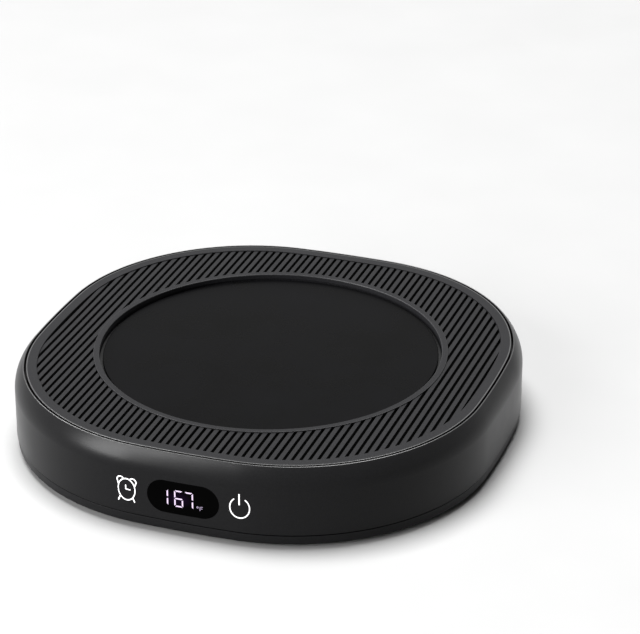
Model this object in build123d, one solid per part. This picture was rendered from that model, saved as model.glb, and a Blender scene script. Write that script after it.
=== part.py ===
"""Electric mug warmer: a low rounded-square base with a ribbed top deck, a recessed round
heating plate that sinks slightly under a mug and closes a weight switch, a display window
with two touch keys beside it on the front wall, and a low-voltage inlet at the rear.

Frame: +Z up, -Y is the front with the display, origin at the middle of the plane that the
feet stand on. All sizes are in millimetres. One STEP file is written for each sub-part.
"""

import math
import os

from build123d import *

# ---------------------------------------------------------------- driving dimensions
# Plan of the body: four gentle side arcs joined by four corner arcs. Every other plan
# line of the body is this one moved inwards, so an "inset" is measured from it.
HALF_WIDTH = 67.35
SIDE_RADIUS = 290.35
CORNER_RADIUS = 55.85

# Heights of the casing, from the table upwards
FOOT_PROUD = 1.1
FLOOR = 2.1
BASE_RIM = 2.8
SEAM_GAP = 0.4
WALL_HEIGHT = 18.8

# Outer wall of the housing
WALL = 2.2
SHOULDER_RADIUS = 9.0
RIM_INSET = 2.5
RIM_WIDTH = 0.25
LEDGE_THICKNESS = 1.6
LEDGE_WIDTH = 3.6

# Base pan
BASE_INSET = 0.3
BASE_EDGE_RADIUS = 1.0
SEAM_DEPTH = 0.85
LIP_CLEARANCE = 0.3
LIP_THICKNESS = 1.5
LIP_HEIGHT = 3.0
FOOT_RADIUS = 6.0
FOOT_POCKET = 0.8
FOOT_CLEARANCE = 0.1
FOOT_EDGE = 0.4
FOOT_INSET = 12.35
VENT_WIDTH = 1.6
VENT_LENGTH = 20.0
VENT_PITCH = 3.6
VENT_COUNT = 6
VENT_OFFSET = 27.0
LABEL_LENGTH = 30.0
LABEL_WIDTH = 22.0
LABEL_DEPTH = 0.3

# Casing screws, driven from below into posts under the deck
SCREW_INSET = 12.35
SCREW_ANGLE = 65.0
SCREW_RADIUS = 1.45
SCREW_LENGTH = 11.0
SCREW_HEAD_RADIUS = 2.8
SCREW_HEAD = 1.8
SCREW_RECESS = 0.6
SCREW_POST_RADIUS = 3.4
SCREW_BOSS = 2.0
THREAD_CLEARANCE = 0.02
SHANK_CLEARANCE = 0.15
HEAD_CLEARANCE = 0.4
SOCKET_SHARE = 0.45
SOCKET_DEPTH_SHARE = 0.6

# Top deck
DECK_GAP = 0.6
DECK_THICKNESS = 2.4
DECK_EDGE = 0.2
BORDER_WIDTH = 2.9
FIELD_DEPTH = 0.25
GROOVE_PITCH = 2.09
GROOVE_WIDTH = 0.88
GROOVE_DEPTH = 1.2
COLLAR_WIDTH = 1.7
WELL_EDGE = 0.3
COLLAR_STEP = 0.3
COLLAR_DEPTH = 4.2
SKIRT_CLEARANCE = 0.3
SKIRT_THICKNESS = 1.5
SKIRT_DEPTH = 2.1

# Heating plate and what is stacked under it
PLATE_RECESS = 1.35
PLATE_RADIUS = 46.4
PLATE_GAP = 0.9
PLATE_THICKNESS = 2.0
PLATE_EDGE = 0.25
SEAL_SEAT_INSET = 1.2
SEAL_HEIGHT = 1.0
SEAL_CLEARANCE = 0.3
HEATER_THICKNESS = 0.5
MICA_THICKNESS = 0.6
PAD_THICKNESS = 1.0
PRESSURE_THICKNESS = 0.4
STUD_RING_RADIUS = 30.0
STUD_RADIUS = 2.2
STUD_ANGLES = (90.0, 210.0, 330.0)
STACK_CLEARANCE = 0.3
PLATE_SCREW_RADIUS = 1.25
PLATE_SCREW_HEAD_RADIUS = 2.3
PLATE_SCREW_HEAD = 1.4
PLATE_SCREW_LENGTH = 3.4

# Carrier that holds the stack and slides on three guide posts
TRAVEL = 0.8
CARRIER_RIM = 1.0
CARRIER_THICKNESS = 1.6
EAR_DROP = 1.25
EAR_THICKNESS = 1.6
EAR_RADIUS = 4.6
ARM_START = 30.0
POST_RING_RADIUS = 43.5
POST_ANGLES = (30.0, 150.0, 270.0)
POST_RADIUS = 2.5
POST_CLEARANCE = 0.05
POST_FOOT_RADIUS = 4.6
STOP_SCREW_RADIUS = 1.25
STOP_SCREW_LENGTH = 6.0
STOP_HEAD_RADIUS = 2.3
STOP_HEAD = 1.4
WASHER_RADIUS = 3.8
WASHER_THICKNESS = 0.5
WASHER_GAP = 1.2

# Return springs of the carrier
SPRING_LENGTH = 6.4
SPRING_WIRE = 0.3
SPRING_RADIUS = 3.25
SPRING_TURNS = 5
SPRING_SEAT_CLEARANCE = 0.02

# Sensors in the stack
THERMISTOR_RADIUS = 2.4
THERMISTOR_LENGTH = 4.75
CUTOUT_LENGTH = 16.0
CUTOUT_WIDTH = 7.0
CUTOUT_HEIGHT = 3.2
CUTOUT_Y = -16.0

# Main board
BOARD_STANDOFF = 2.0
BOARD_THICKNESS = 1.2
BOARD_HALF_WIDTH = 30.0
BOARD_FRONT = -34.0
BOARD_REAR = 30.0
TONGUE_HALF_WIDTH = 11.0
TONGUE_CLEARANCE = 0.6
BOARD_SCREW_INSET = 4.0
BOARD_SCREW_RADIUS = 0.98
BOARD_SCREW_HEAD_RADIUS = 2.0
BOARD_SCREW_HEAD = 1.4
BOARD_SCREW_REACH = 2.6
BOARD_SCREW_SPARE = 0.49
BOARD_BOSS_RADIUS = 2.8

# Weight switch on the main board
SWITCH_LENGTH = 12.8
SWITCH_WIDTH = 5.8
SWITCH_HEIGHT = 5.6
SWITCH_X = 13.0
SWITCH_Y = -8.0
PLUNGER_OFFSET = 2.5
PLUNGER_RADIUS = 1.0
PLUNGER_PROUD = 1.0
PLUNGER_BURIED = 1.1
PLUNGER_CLEARANCE = 0.05
STRIKER_RADIUS = 2.0

# Low-voltage inlet on the main board's rear tongue
JACK_WIDTH = 9.0
JACK_LENGTH = 13.6
JACK_HEIGHT = 9.6
JACK_AXIS = 4.8
JACK_SOCKET_RADIUS = 2.8
JACK_SOCKET_DEPTH = 10.0
JACK_PIN_RADIUS = 1.05
JACK_PIN_RECESS = 0.8
JACK_CLEARANCE = 0.1
PORT_RADIUS = 4.25
# Material of the wall beside the inlet's hole that is kept as a sub-part of its own
PORT_MARGIN = 9.75

# Display: a thin lens let into the front wall, a little right of the middle, with the
# digit module's nose behind it
WINDOW_LENGTH = 20.0
WINDOW_HEIGHT = 9.5
WINDOW_SHIFT = 0.57
WINDOW_DROP = 11.74
LENS_RECESS = 0.04
LENS_THICKNESS = 0.9
LENS_CLEARANCE = 0.08
LENS_LEDGE = 1.0
NOSE_GAP = 0.25
NOSE_CLEARANCE = 0.2
MODULE_DEPTH = 6.5
MODULE_LENGTH = 21.6
MODULE_HEIGHT = 10.6
MODULE_WALL_GAP = 0.4
DISPLAY_BOARD_LENGTH = 50.0
DISPLAY_BOARD_HEIGHT = 12.4
DISPLAY_BOARD_THICKNESS = 1.2
SLOT_POST_LENGTH = 5.0
SLOT_POST_WIDTH = 4.4
SLOT_POST_HEIGHT = 10.0
SLOT_CLEARANCE = 0.1
SLOT_LIFT = 1.0

# Touch keys: a coil spring behind each of the two marked spots beside the window
KEY_OFFSET = 15.7
KEY_DROP = 12.0
KEY_SPRING_RADIUS = 2.9
KEY_SPRING_WIRE = 0.25
KEY_SPRING_TURNS = 4
KEY_SPRING_CLEARANCE = 0.15

# Parts soldered to the main board: middle in X and Y, then sizes
CAPACITOR_RADIUS = 3.2
CAPACITOR_HEIGHT = 6.0
CAPACITOR_PLACES = ((-20.0, 20.0), (-12.0, 22.5))
INDUCTOR_SIZE = 7.3
INDUCTOR_HEIGHT = 3.6
INDUCTOR_PLACE = (-10.0, -22.0)
INDUCTOR_EDGE = 1.5
CHIP_SIZE = 8.0
CHIP_HEIGHT = 1.1
CHIP_PLACE = (1.0, -27.0)
MOSFET_LENGTH = 6.5
MOSFET_WIDTH = 6.0
MOSFET_HEIGHT = 2.3
MOSFET_PLACE = (23.0, 2.0)
BUZZER_RADIUS = 4.5
BUZZER_HEIGHT = 5.5
BUZZER_HOLE = 1.0
BUZZER_PLACE = (-22.0, -12.0)

# Leads between the moving stack and sockets on the main board
HEATER_LEAD_RADIUS = 0.7
HEATER_LEAD_X = 9.0
HEATER_LEAD_Y = (15.0, 17.6)
HEATER_LEAD_RUN = 11.0
HEATER_LEAD_LIFT = 2.2
SENSOR_LEAD_RADIUS = 0.5
SENSOR_LEAD_Y = (-1.0, 1.0)
SENSOR_LEAD_RUN = 11.0
SENSOR_LEAD_LIFT = 1.8
CUTOUT_LEAD_RADIUS = 0.45
CUTOUT_LEAD_Y = (-1.5, 1.5)
CUTOUT_LEAD_RUN = 9.4
CUTOUT_LEAD_INSET = 0.8
LEAD_HOLE_CLEARANCE = 0.4
LEAD_BEND_SHARE = 0.45
SOCKET_LENGTH = 6.0
SOCKET_WIDTH = 7.0
SOCKET_HEIGHT = 4.0
LOW_SOCKET_HEIGHT = 2.0

# Flat cable between the two boards
RIBBON_INSET = 11.0
RIBBON_WIDTH = 8.0
RIBBON_THICKNESS = 0.8
RIBBON_LIFT = 1.8
RIBBON_ARCH = 2.4
RIBBON_SHOULDER = 7.0
HEADER_LENGTH = 10.0
HEADER_WIDTH = 3.0
HEADER_HEIGHT = 3.4
HEADER_EDGE = 1.0

# How far a cutting shape runs past the wall that it cuts
OVERCUT = 1.0

# ---------------------------------------------------------------- levels and places
base_bottom = FOOT_PROUD
floor_top = base_bottom + FLOOR
rim_top = base_bottom + BASE_RIM
wall_bottom = rim_top + SEAM_GAP
top = wall_bottom + WALL_HEIGHT
deck_bottom = top - DECK_THICKNESS
ledge_bottom = deck_bottom - LEDGE_THICKNESS
land_top = top - FIELD_DEPTH
groove_bottom = land_top - GROOVE_DEPTH

plate_top = top - PLATE_RECESS
plate_bottom = plate_top - PLATE_THICKNESS
heater_bottom = plate_bottom - HEATER_THICKNESS
mica_bottom = heater_bottom - MICA_THICKNESS
pad_bottom = mica_bottom - PAD_THICKNESS
carrier_top = pad_bottom - PRESSURE_THICKNESS
carrier_bottom = carrier_top - CARRIER_THICKNESS
ear_top = carrier_top - EAR_DROP
ear_bottom = ear_top - EAR_THICKNESS
spring_seat = ear_bottom - SPRING_LENGTH

board_bottom = floor_top + BOARD_STANDOFF
board_top = board_bottom + BOARD_THICKNESS
switch_top = board_top + SWITCH_HEIGHT
plunger_top = switch_top + PLUNGER_PROUD
jack_z = board_top + JACK_AXIS

well_radius = PLATE_RADIUS + PLATE_GAP
collar_radius = well_radius + COLLAR_WIDTH
seal_seat_radius = PLATE_RADIUS - SEAL_SEAT_INSET
stack_radius = POST_RING_RADIUS - WASHER_RADIUS - WASHER_GAP
carrier_radius = stack_radius + CARRIER_RIM

opening_inset = RIM_INSET + RIM_WIDTH
deck_inset = opening_inset + DECK_GAP
field_inset = deck_inset + BORDER_WIDTH
ledge_inset = opening_inset + LEDGE_WIDTH
lip_inset = WALL + LIP_CLEARANCE
skirt_inset = ledge_inset + SKIRT_CLEARANCE

# The side arcs' centres lie side_back beyond the middle, and the corner arcs' centres at
# (corner_middle, corner_middle), where the two arcs meet without a kink.
side_back = SIDE_RADIUS - HALF_WIDTH
corner_middle = (
    math.sqrt(2 * (SIDE_RADIUS - CORNER_RADIUS) ** 2 - side_back**2) - side_back
) / 2
corner_angle = math.degrees(math.atan2(corner_middle, corner_middle + side_back))

window_z = top - WINDOW_DROP
key_z = top - KEY_DROP
lens_back_y = -(HALF_WIDTH - LENS_RECESS - LENS_THICKNESS)
nose_y = lens_back_y + NOSE_GAP
display_board_y = nose_y + MODULE_DEPTH
display_board_z = floor_top + SLOT_LIFT
display_board_back = display_board_y + DISPLAY_BOARD_THICKNESS
ribbon_x = DISPLAY_BOARD_LENGTH / 2 - RIBBON_INSET
jack_y = HALF_WIDTH - WALL - JACK_CLEARANCE
rear_half = PORT_RADIUS + PORT_MARGIN
board_tip = HALF_WIDTH - lip_inset - LIP_THICKNESS - TONGUE_CLEARANCE
plunger_x = SWITCH_X + PLUNGER_OFFSET


# ---------------------------------------------------------------- small helpers
def outline(inset):
    """Face of the body's plan, moved inwards by inset."""
    side = SIDE_RADIUS - inset
    corner = CORNER_RADIUS - inset
    edges = []
    for quarter in range(4):
        turn = Rot(0, 0, 90 * quarter)
        edges.append(turn * CenterArc((0, -side_back), side, 90 - corner_angle, 2 * corner_angle))
        middle = (corner_middle, corner_middle)
        edges.append(turn * CenterArc(middle, corner, corner_angle, 90 - 2 * corner_angle))
    return make_face(edges)


def outline_y(x, inset):
    """Distance from the middle to the moved outline's front or rear, at this x."""
    side = SIDE_RADIUS - inset
    if abs(x) < side * math.sin(math.radians(corner_angle)):
        return math.sqrt(side**2 - x**2) - side_back
    corner = CORNER_RADIUS - inset
    return corner_middle + math.sqrt(corner**2 - (abs(x) - corner_middle) ** 2)


def slab(inset, low, high):
    """Solid of the body's plan, moved inwards, between two heights."""
    return extrude(Pos(0, 0, low) * outline(inset), amount=high - low)


def disc(radius, low, high, x=0.0, y=0.0):
    """Upright cylinder between two heights."""
    return Pos(x, y, low) * Cylinder(radius, high - low, align=(Align.CENTER, Align.CENTER, Align.MIN))


def ring(outer, inner, low, high):
    """Upright ring between two heights."""
    return disc(outer, low, high) - disc(inner, low, high)


def block(x, y, z):
    """Box between the two ends given for each axis."""
    sizes = [span[1] - span[0] for span in (x, y, z)]
    return Pos(x[0], y[0], z[0]) * Box(*sizes, align=(Align.MIN,) * 3)


def centred(place, length, width, low, height):
    """Box round a place in plan, standing on low."""
    x, y = place
    return block((x - length / 2, x + length / 2), (y - width / 2, y + width / 2), (low, low + height))


def window_bar(length, height, near, far):
    """Round-ended bar along X on the window's middle, running from y = near to y = far."""
    start = Plane(origin=(WINDOW_SHIFT, near, window_z), x_dir=(1, 0, 0), z_dir=(0, 1, 0))
    return extrude(start * SlotOverall(length, height), amount=far - near)


def polar(ring_radius, degrees):
    """Place in plan on a circle round the middle."""
    angle = math.radians(degrees)
    return ring_radius * math.cos(angle), ring_radius * math.sin(angle)


def corner_places(inset, degrees):
    """The four mirrored places at this inset from the corner arcs and angle on them."""
    reach = CORNER_RADIUS - inset
    x = corner_middle + reach * math.cos(math.radians(degrees))
    y = corner_middle + reach * math.sin(math.radians(degrees))
    return [(sx * x, sy * y) for sx in (-1, 1) for sy in (-1, 1)]


def screw(radius, length, head_radius, head, x, y, seat, up):
    """Screw whose head sits against seat; its shank points up or down from there."""
    side = 1 if up else -1
    ends = sorted((seat - side * head, seat))
    body = disc(head_radius, *ends, x, y)
    shank = sorted((seat, seat + side * length))
    body += disc(radius, *shank, x, y)
    depth = head * SOCKET_DEPTH_SHARE
    outer = seat - side * head
    hexagon = RegularPolygon(head_radius * SOCKET_SHARE, 6)
    drive = extrude(Pos(x, y, min(outer, outer + side * depth)) * hexagon, amount=depth)
    return body - drive


def coil(radius, wire, length, turns):
    """Round-wire compression spring standing on z = 0, its ends within the length."""
    path = Helix((length - 2 * wire) / turns, length - 2 * wire, radius)
    start = Plane(origin=path @ 0, z_dir=path % 0)
    return Pos(0, 0, wire) * sweep(start * Circle(wire), path=path, is_frenet=True)


def lead(points, radius):
    """Round lead along straight runs joined by arcs as large as the runs allow."""
    radii = []
    for before, here, after in zip(points, points[1:], points[2:]):
        first, second = Vector(*here) - Vector(*before), Vector(*after) - Vector(*here)
        turn = math.radians(first.get_angle(second))
        radii.append(LEAD_BEND_SHARE * min(first.length, second.length) / math.tan(turn / 2))
    path = FilletPolyline(*points, radius=radii)
    tube = sweep(Plane(origin=path @ 0, z_dir=path % 0) * Circle(radius), path=path)
    print("lead", round(path.length, 2), "mm, bends", [round(r, 2) for r in radii],
          "volume ratio", round(tube.volume / (math.pi * radius**2 * path.length), 4))
    return tube


def group(solids):
    """Several separate solids kept as one sub-part."""
    return Compound(children=[s for part in solids for s in part.solids()])


# ---------------------------------------------------------------- casing
def casing_wall():
    """Outer wall: a ring with a curved shoulder, a ledge for the deck, the display's
    stepped opening in front and the inlet's hole at the rear."""
    drop = math.sqrt(SHOULDER_RADIUS**2 - (SHOULDER_RADIUS - RIM_INSET) ** 2)
    body = slab(0, wall_bottom, top - drop + SHOULDER_RADIUS)
    body = fillet(body.faces().sort_by(Axis.Z)[-1].edges(), SHOULDER_RADIUS - 0.001)
    body -= block((-HALF_WIDTH, HALF_WIDTH), (-HALF_WIDTH, HALF_WIDTH), (top, top + SHOULDER_RADIUS))
    body -= slab(WALL, wall_bottom, ledge_bottom)
    body -= slab(ledge_inset, ledge_bottom, deck_bottom)
    body -= slab(opening_inset, deck_bottom, top)
    front, inner = -HALF_WIDTH - OVERCUT, -HALF_WIDTH + WALL + OVERCUT
    lens_seat = slab(0, wall_bottom, top) - slab(LENS_RECESS + LENS_THICKNESS, wall_bottom, top)
    body -= window_bar(WINDOW_LENGTH, WINDOW_HEIGHT, front, inner) & lens_seat
    through = 2 * LENS_LEDGE
    body -= window_bar(WINDOW_LENGTH - through, WINDOW_HEIGHT - through, front, inner)
    outside = HALF_WIDTH + OVERCUT
    port = Plane(origin=(0, outside, jack_z), z_dir=(0, -1, 0)) * Circle(PORT_RADIUS)
    body -= extrude(port, amount=outside - HALF_WIDTH + WALL + OVERCUT)
    return body


def rear_span():
    """Space that holds the rear stretch of the wall, with the inlet's hole in its middle."""
    return block((-rear_half, rear_half), (0, HALF_WIDTH + OVERCUT), (wall_bottom, top))


def groove_faces():
    """Front-to-rear grooves, cut off at the border and at the collar."""
    field = outline(field_inset) - Circle(collar_radius)
    reach = HALF_WIDTH - field_inset
    count = int(reach / GROOVE_PITCH)
    bars = [
        Pos(n * GROOVE_PITCH, 0) * Rectangle(GROOVE_WIDTH, 2 * reach)
        for n in range(-count, count + 1)
    ]
    return field & Sketch(children=bars)


def well_collar():
    """Ring round the mug's well: its inner edge is rounded, and it steps back below the
    plate's face so that the seal has room."""
    low = top - COLLAR_DEPTH
    body = ring(collar_radius, well_radius, low, top)
    well_edge = body.edges().filter_by(GeomType.CIRCLE).filter_by(
        lambda e: e.radius < collar_radius - COLLAR_WIDTH / 2 and e.center().Z > plate_top
    )
    body = fillet(well_edge, WELL_EDGE)
    return body - disc(well_radius + COLLAR_STEP, low, plate_top)


def top_deck():
    """Ribbed top panel with a collar round the mug's well, a locating skirt and four
    screw posts underneath."""
    body = slab(deck_inset, deck_bottom, top)
    body = fillet(body.faces().sort_by(Axis.Z)[-1].edges(), DECK_EDGE)
    body -= extrude(Pos(0, 0, land_top) * outline(field_inset), amount=FIELD_DEPTH)
    body -= extrude(Pos(0, 0, groove_bottom) * groove_faces(), amount=GROOVE_DEPTH)
    body -= disc(collar_radius, deck_bottom, top)
    body += well_collar()
    skirt_low = deck_bottom - SKIRT_DEPTH
    body += slab(skirt_inset, skirt_low, deck_bottom) - slab(
        skirt_inset + SKIRT_THICKNESS, skirt_low, deck_bottom
    )
    boss_top = floor_top + SCREW_BOSS
    for x, y in corner_places(SCREW_INSET, SCREW_ANGLE):
        body += disc(SCREW_POST_RADIUS, boss_top, deck_bottom, x, y)
        reach = boss_top + SCREW_LENGTH
        body -= disc(SCREW_RADIUS + THREAD_CLEARANCE, boss_top, reach, x, y)
    return body


def base_pan():
    """Bottom tray: a thin visible rim below the seam, a lip inside the housing, and all
    bosses, guide posts and slots that carry the insides."""
    body = slab(BASE_INSET, base_bottom, rim_top)
    body = fillet(body.faces().sort_by(Axis.Z)[0].edges(), BASE_EDGE_RADIUS)
    body += slab(BASE_INSET + SEAM_DEPTH, rim_top, wall_bottom)
    lip_top = floor_top + LIP_HEIGHT
    body += slab(lip_inset, wall_bottom, lip_top)
    body -= slab(lip_inset + LIP_THICKNESS, floor_top, lip_top)
    clear = DISPLAY_BOARD_LENGTH / 2 + SLOT_POST_LENGTH
    body -= block((-clear, clear), (-HALF_WIDTH, display_board_back), (wall_bottom, lip_top))
    for place in corner_places(FOOT_INSET, 45):
        pocket = FOOT_RADIUS + FOOT_CLEARANCE
        body -= disc(pocket, base_bottom, base_bottom + FOOT_POCKET, *place)
    for x, y in corner_places(SCREW_INSET, SCREW_ANGLE):
        seat = base_bottom + SCREW_RECESS + SCREW_HEAD
        body += disc(SCREW_POST_RADIUS, floor_top, floor_top + SCREW_BOSS, x, y)
        body -= disc(SCREW_HEAD_RADIUS + HEAD_CLEARANCE, base_bottom, seat, x, y)
        body -= disc(SCREW_RADIUS + SHANK_CLEARANCE, seat, floor_top + SCREW_BOSS, x, y)
    body += guide_posts()
    for x, y in board_screw_places():
        body += disc(BOARD_BOSS_RADIUS, floor_top, board_bottom, x, y)
        hole = BOARD_SCREW_RADIUS + THREAD_CLEARANCE
        body -= disc(hole, BOARD_SCREW_REACH - BOARD_SCREW_SPARE, board_bottom, x, y)
    body += slot_posts()
    body -= vents()
    label = centred((0, 0), LABEL_LENGTH, LABEL_WIDTH, base_bottom, LABEL_DEPTH)
    return body - label


def guide_posts():
    """Stepped posts: the spring stands on the step and the carrier slides on the top."""
    posts = Part()
    for x, y in (polar(POST_RING_RADIUS, a) for a in POST_ANGLES):
        posts += disc(POST_FOOT_RADIUS, floor_top, spring_seat, x, y)
        posts += disc(POST_RADIUS, spring_seat, ear_top, x, y)
        hole = STOP_SCREW_RADIUS + THREAD_CLEARANCE
        posts -= disc(hole, ear_top - STOP_SCREW_LENGTH, ear_top, x, y)
    return posts


def slot_posts():
    """Two grooved posts that hold the display board's ends upright."""
    posts = Part()
    half = DISPLAY_BOARD_LENGTH / 2
    middle = display_board_y + DISPLAY_BOARD_THICKNESS / 2
    slot = DISPLAY_BOARD_THICKNESS / 2 + SLOT_CLEARANCE
    for side in (-1, 1):
        x = side * half
        high = floor_top + SLOT_POST_HEIGHT
        post = centred((x, middle), SLOT_POST_LENGTH, SLOT_POST_WIDTH, floor_top, SLOT_POST_HEIGHT)
        ends = sorted((x + side * SLOT_CLEARANCE, x - side * SLOT_POST_LENGTH))
        post -= block(ends, (middle - slot, middle + slot), (display_board_z, high))
        posts += post
    return posts


def vents():
    """Two groups of round-ended slots through the floor."""
    cuts = []
    for side in (-1, 1):
        for n in range(VENT_COUNT):
            x = side * VENT_OFFSET + (n - (VENT_COUNT - 1) / 2) * VENT_PITCH
            cuts.append(Pos(x, 0) * Rot(0, 0, 90) * SlotOverall(VENT_LENGTH, VENT_WIDTH))
    return extrude(Pos(0, 0, base_bottom) * Sketch(children=cuts), amount=FLOOR)


def rubber_feet():
    """Four feet in pockets under the corners."""
    feet = []
    for place in corner_places(FOOT_INSET, 45):
        foot = disc(FOOT_RADIUS, 0, FOOT_PROUD + FOOT_POCKET, *place)
        feet.append(fillet(foot.faces().sort_by(Axis.Z)[0].edges(), FOOT_EDGE))
    return group(feet)


def casing_screws():
    """Four screws from below, through the base pan into the deck's posts."""
    seat = base_bottom + SCREW_RECESS + SCREW_HEAD
    sizes = (SCREW_RADIUS, SCREW_LENGTH, SCREW_HEAD_RADIUS, SCREW_HEAD)
    places = corner_places(SCREW_INSET, SCREW_ANGLE)
    return group([screw(*sizes, x, y, seat, True) for x, y in places])


# ---------------------------------------------------------------- heating plate and carrier
def heating_plate():
    """Round plate with a rebate for its seal and three tapped studs underneath."""
    body = disc(PLATE_RADIUS, plate_bottom, plate_top)
    body = chamfer(body.faces().sort_by(Axis.Z)[-1].edges(), PLATE_EDGE)
    body -= ring(PLATE_RADIUS + OVERCUT, seal_seat_radius, plate_bottom, plate_bottom + SEAL_HEIGHT)
    for x, y in stud_places():
        body += disc(STUD_RADIUS, carrier_top, plate_bottom, x, y)
        hole = PLATE_SCREW_RADIUS + THREAD_CLEARANCE
        depth = carrier_bottom + PLATE_SCREW_LENGTH + THREAD_CLEARANCE
        body -= disc(hole, carrier_top, depth, x, y)
    return body


def plate_seal():
    """Silicone ring in the plate's rebate that closes the gap to the collar."""
    outer = well_radius + COLLAR_STEP - SEAL_CLEARANCE
    return ring(outer, seal_seat_radius, plate_bottom, plate_bottom + SEAL_HEIGHT)


def stack_layer(low, high, leads):
    """Disc of the stack with holes for the studs, the thermistor and, below the
    heater, the heater's leads."""
    body = disc(stack_radius, low, high)
    for x, y in stud_places():
        body -= disc(STUD_RADIUS + STACK_CLEARANCE, low, high, x, y)
    body -= disc(THERMISTOR_RADIUS + STACK_CLEARANCE, low, high)
    if leads:
        for y in HEATER_LEAD_Y:
            hole = HEATER_LEAD_RADIUS + LEAD_HOLE_CLEARANCE
            body -= disc(hole, low, high, HEATER_LEAD_X, y)
    return body


def plate_carrier():
    """Tray under the stack, with three bored ears on the guide posts and the striker
    that presses the weight switch."""
    body = disc(carrier_radius, carrier_bottom, carrier_top)
    for angle, (x, y) in zip(POST_ANGLES, (polar(POST_RING_RADIUS, a) for a in POST_ANGLES)):
        arm = block((ARM_START, POST_RING_RADIUS), (-EAR_RADIUS, EAR_RADIUS), (ear_bottom, ear_top))
        body += Rot(0, 0, angle) * arm
        body += disc(EAR_RADIUS, ear_bottom, ear_top, x, y)
        body -= disc(WASHER_RADIUS + STACK_CLEARANCE, ear_top, carrier_top, x, y)
        body -= disc(POST_RADIUS + POST_CLEARANCE, ear_bottom, ear_top, x, y)
    for x, y in stud_places():
        body -= disc(PLATE_SCREW_RADIUS + SHANK_CLEARANCE, ear_bottom, carrier_top, x, y)
    body -= disc(THERMISTOR_RADIUS + STACK_CLEARANCE, carrier_bottom, carrier_top)
    for y in HEATER_LEAD_Y:
        hole = HEATER_LEAD_RADIUS + LEAD_HOLE_CLEARANCE
        body -= disc(hole, carrier_bottom, carrier_top, HEATER_LEAD_X, y)
    room = 2 * STACK_CLEARANCE
    window = (CUTOUT_LENGTH + room, CUTOUT_WIDTH + room)
    body -= centred((0, CUTOUT_Y), *window, carrier_bottom, CARRIER_THICKNESS)
    return body + disc(STRIKER_RADIUS, plunger_top, carrier_bottom, plunger_x, SWITCH_Y)


def stud_places():
    """Places of the plate's studs."""
    return [polar(STUD_RING_RADIUS, a) for a in STUD_ANGLES]


def plate_screws():
    """Three screws from below that clamp the stack between carrier and plate."""
    sizes = (PLATE_SCREW_RADIUS, PLATE_SCREW_LENGTH, PLATE_SCREW_HEAD_RADIUS, PLATE_SCREW_HEAD)
    return group([screw(*sizes, x, y, carrier_bottom, True) for x, y in stud_places()])


def stop_screws():
    """Three screws down into the guide posts, whose washers stop the carrier's rise."""
    sizes = (STOP_SCREW_RADIUS, STOP_SCREW_LENGTH, STOP_HEAD_RADIUS, STOP_HEAD)
    seat = ear_top + WASHER_THICKNESS
    places = [polar(POST_RING_RADIUS, a) for a in POST_ANGLES]
    return group([screw(*sizes, x, y, seat, False) for x, y in places])


def stop_washers():
    """Washers under the stop screws' heads."""
    washers = []
    for x, y in (polar(POST_RING_RADIUS, a) for a in POST_ANGLES):
        hole = disc(STOP_SCREW_RADIUS + SHANK_CLEARANCE, ear_top, ear_top + WASHER_THICKNESS, x, y)
        washers.append(disc(WASHER_RADIUS, ear_top, ear_top + WASHER_THICKNESS, x, y) - hole)
    return group(washers)


def return_springs():
    """Three coil springs round the guide posts that lift the carrier."""
    length = SPRING_LENGTH - 2 * SPRING_SEAT_CLEARANCE
    spring = coil(SPRING_RADIUS, SPRING_WIRE, length, SPRING_TURNS)
    low = spring_seat + SPRING_SEAT_CLEARANCE
    return group([Pos(*polar(POST_RING_RADIUS, a), low) * spring for a in POST_ANGLES])


def thermistor():
    """Sensor can pressed against the plate's middle from below."""
    return disc(THERMISTOR_RADIUS, plate_bottom - THERMISTOR_LENGTH, plate_bottom)


def thermal_cutout():
    """Flat cut-out against the pressure plate, in the carrier's window."""
    low = carrier_top - CUTOUT_HEIGHT
    return centred((0, CUTOUT_Y), CUTOUT_LENGTH, CUTOUT_WIDTH, low, CUTOUT_HEIGHT)


# ---------------------------------------------------------------- boards and what is on them
def board_screw_places():
    """Corners of the main board's wide part, inside its edges."""
    x = BOARD_HALF_WIDTH - BOARD_SCREW_INSET
    rows = (BOARD_FRONT + BOARD_SCREW_INSET, BOARD_REAR - BOARD_SCREW_INSET)
    return [(sx * x, y) for sx in (-1, 1) for y in rows]


def main_board():
    """Wide board with a tongue that reaches back to the inlet."""
    wide = (-BOARD_HALF_WIDTH, BOARD_HALF_WIDTH)
    narrow = (-TONGUE_HALF_WIDTH, TONGUE_HALF_WIDTH)
    body = block(wide, (BOARD_FRONT, BOARD_REAR), (board_bottom, board_top))
    body += block(narrow, (BOARD_REAR, board_tip), (board_bottom, board_top))
    for x, y in board_screw_places():
        body -= disc(BOARD_SCREW_RADIUS + SHANK_CLEARANCE, board_bottom, board_top, x, y)
    return body


def board_screws():
    """Four screws that hold the main board down."""
    length = board_top - BOARD_SCREW_REACH
    sizes = (BOARD_SCREW_RADIUS, length, BOARD_SCREW_HEAD_RADIUS, BOARD_SCREW_HEAD)
    return group([screw(*sizes, x, y, board_top, False) for x, y in board_screw_places()])


def weight_switch():
    """Switch body with a well for its plunger."""
    place = (SWITCH_X, SWITCH_Y)
    body = centred(place, SWITCH_LENGTH, SWITCH_WIDTH, board_top, SWITCH_HEIGHT)
    depth = PLUNGER_BURIED + TRAVEL + PLUNGER_CLEARANCE
    radius = PLUNGER_RADIUS + PLUNGER_CLEARANCE
    return body - disc(radius, switch_top - depth, switch_top, plunger_x, SWITCH_Y)


def switch_plunger():
    """Plunger that the striker presses down."""
    return disc(PLUNGER_RADIUS, switch_top - PLUNGER_BURIED, plunger_top, plunger_x, SWITCH_Y)


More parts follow.
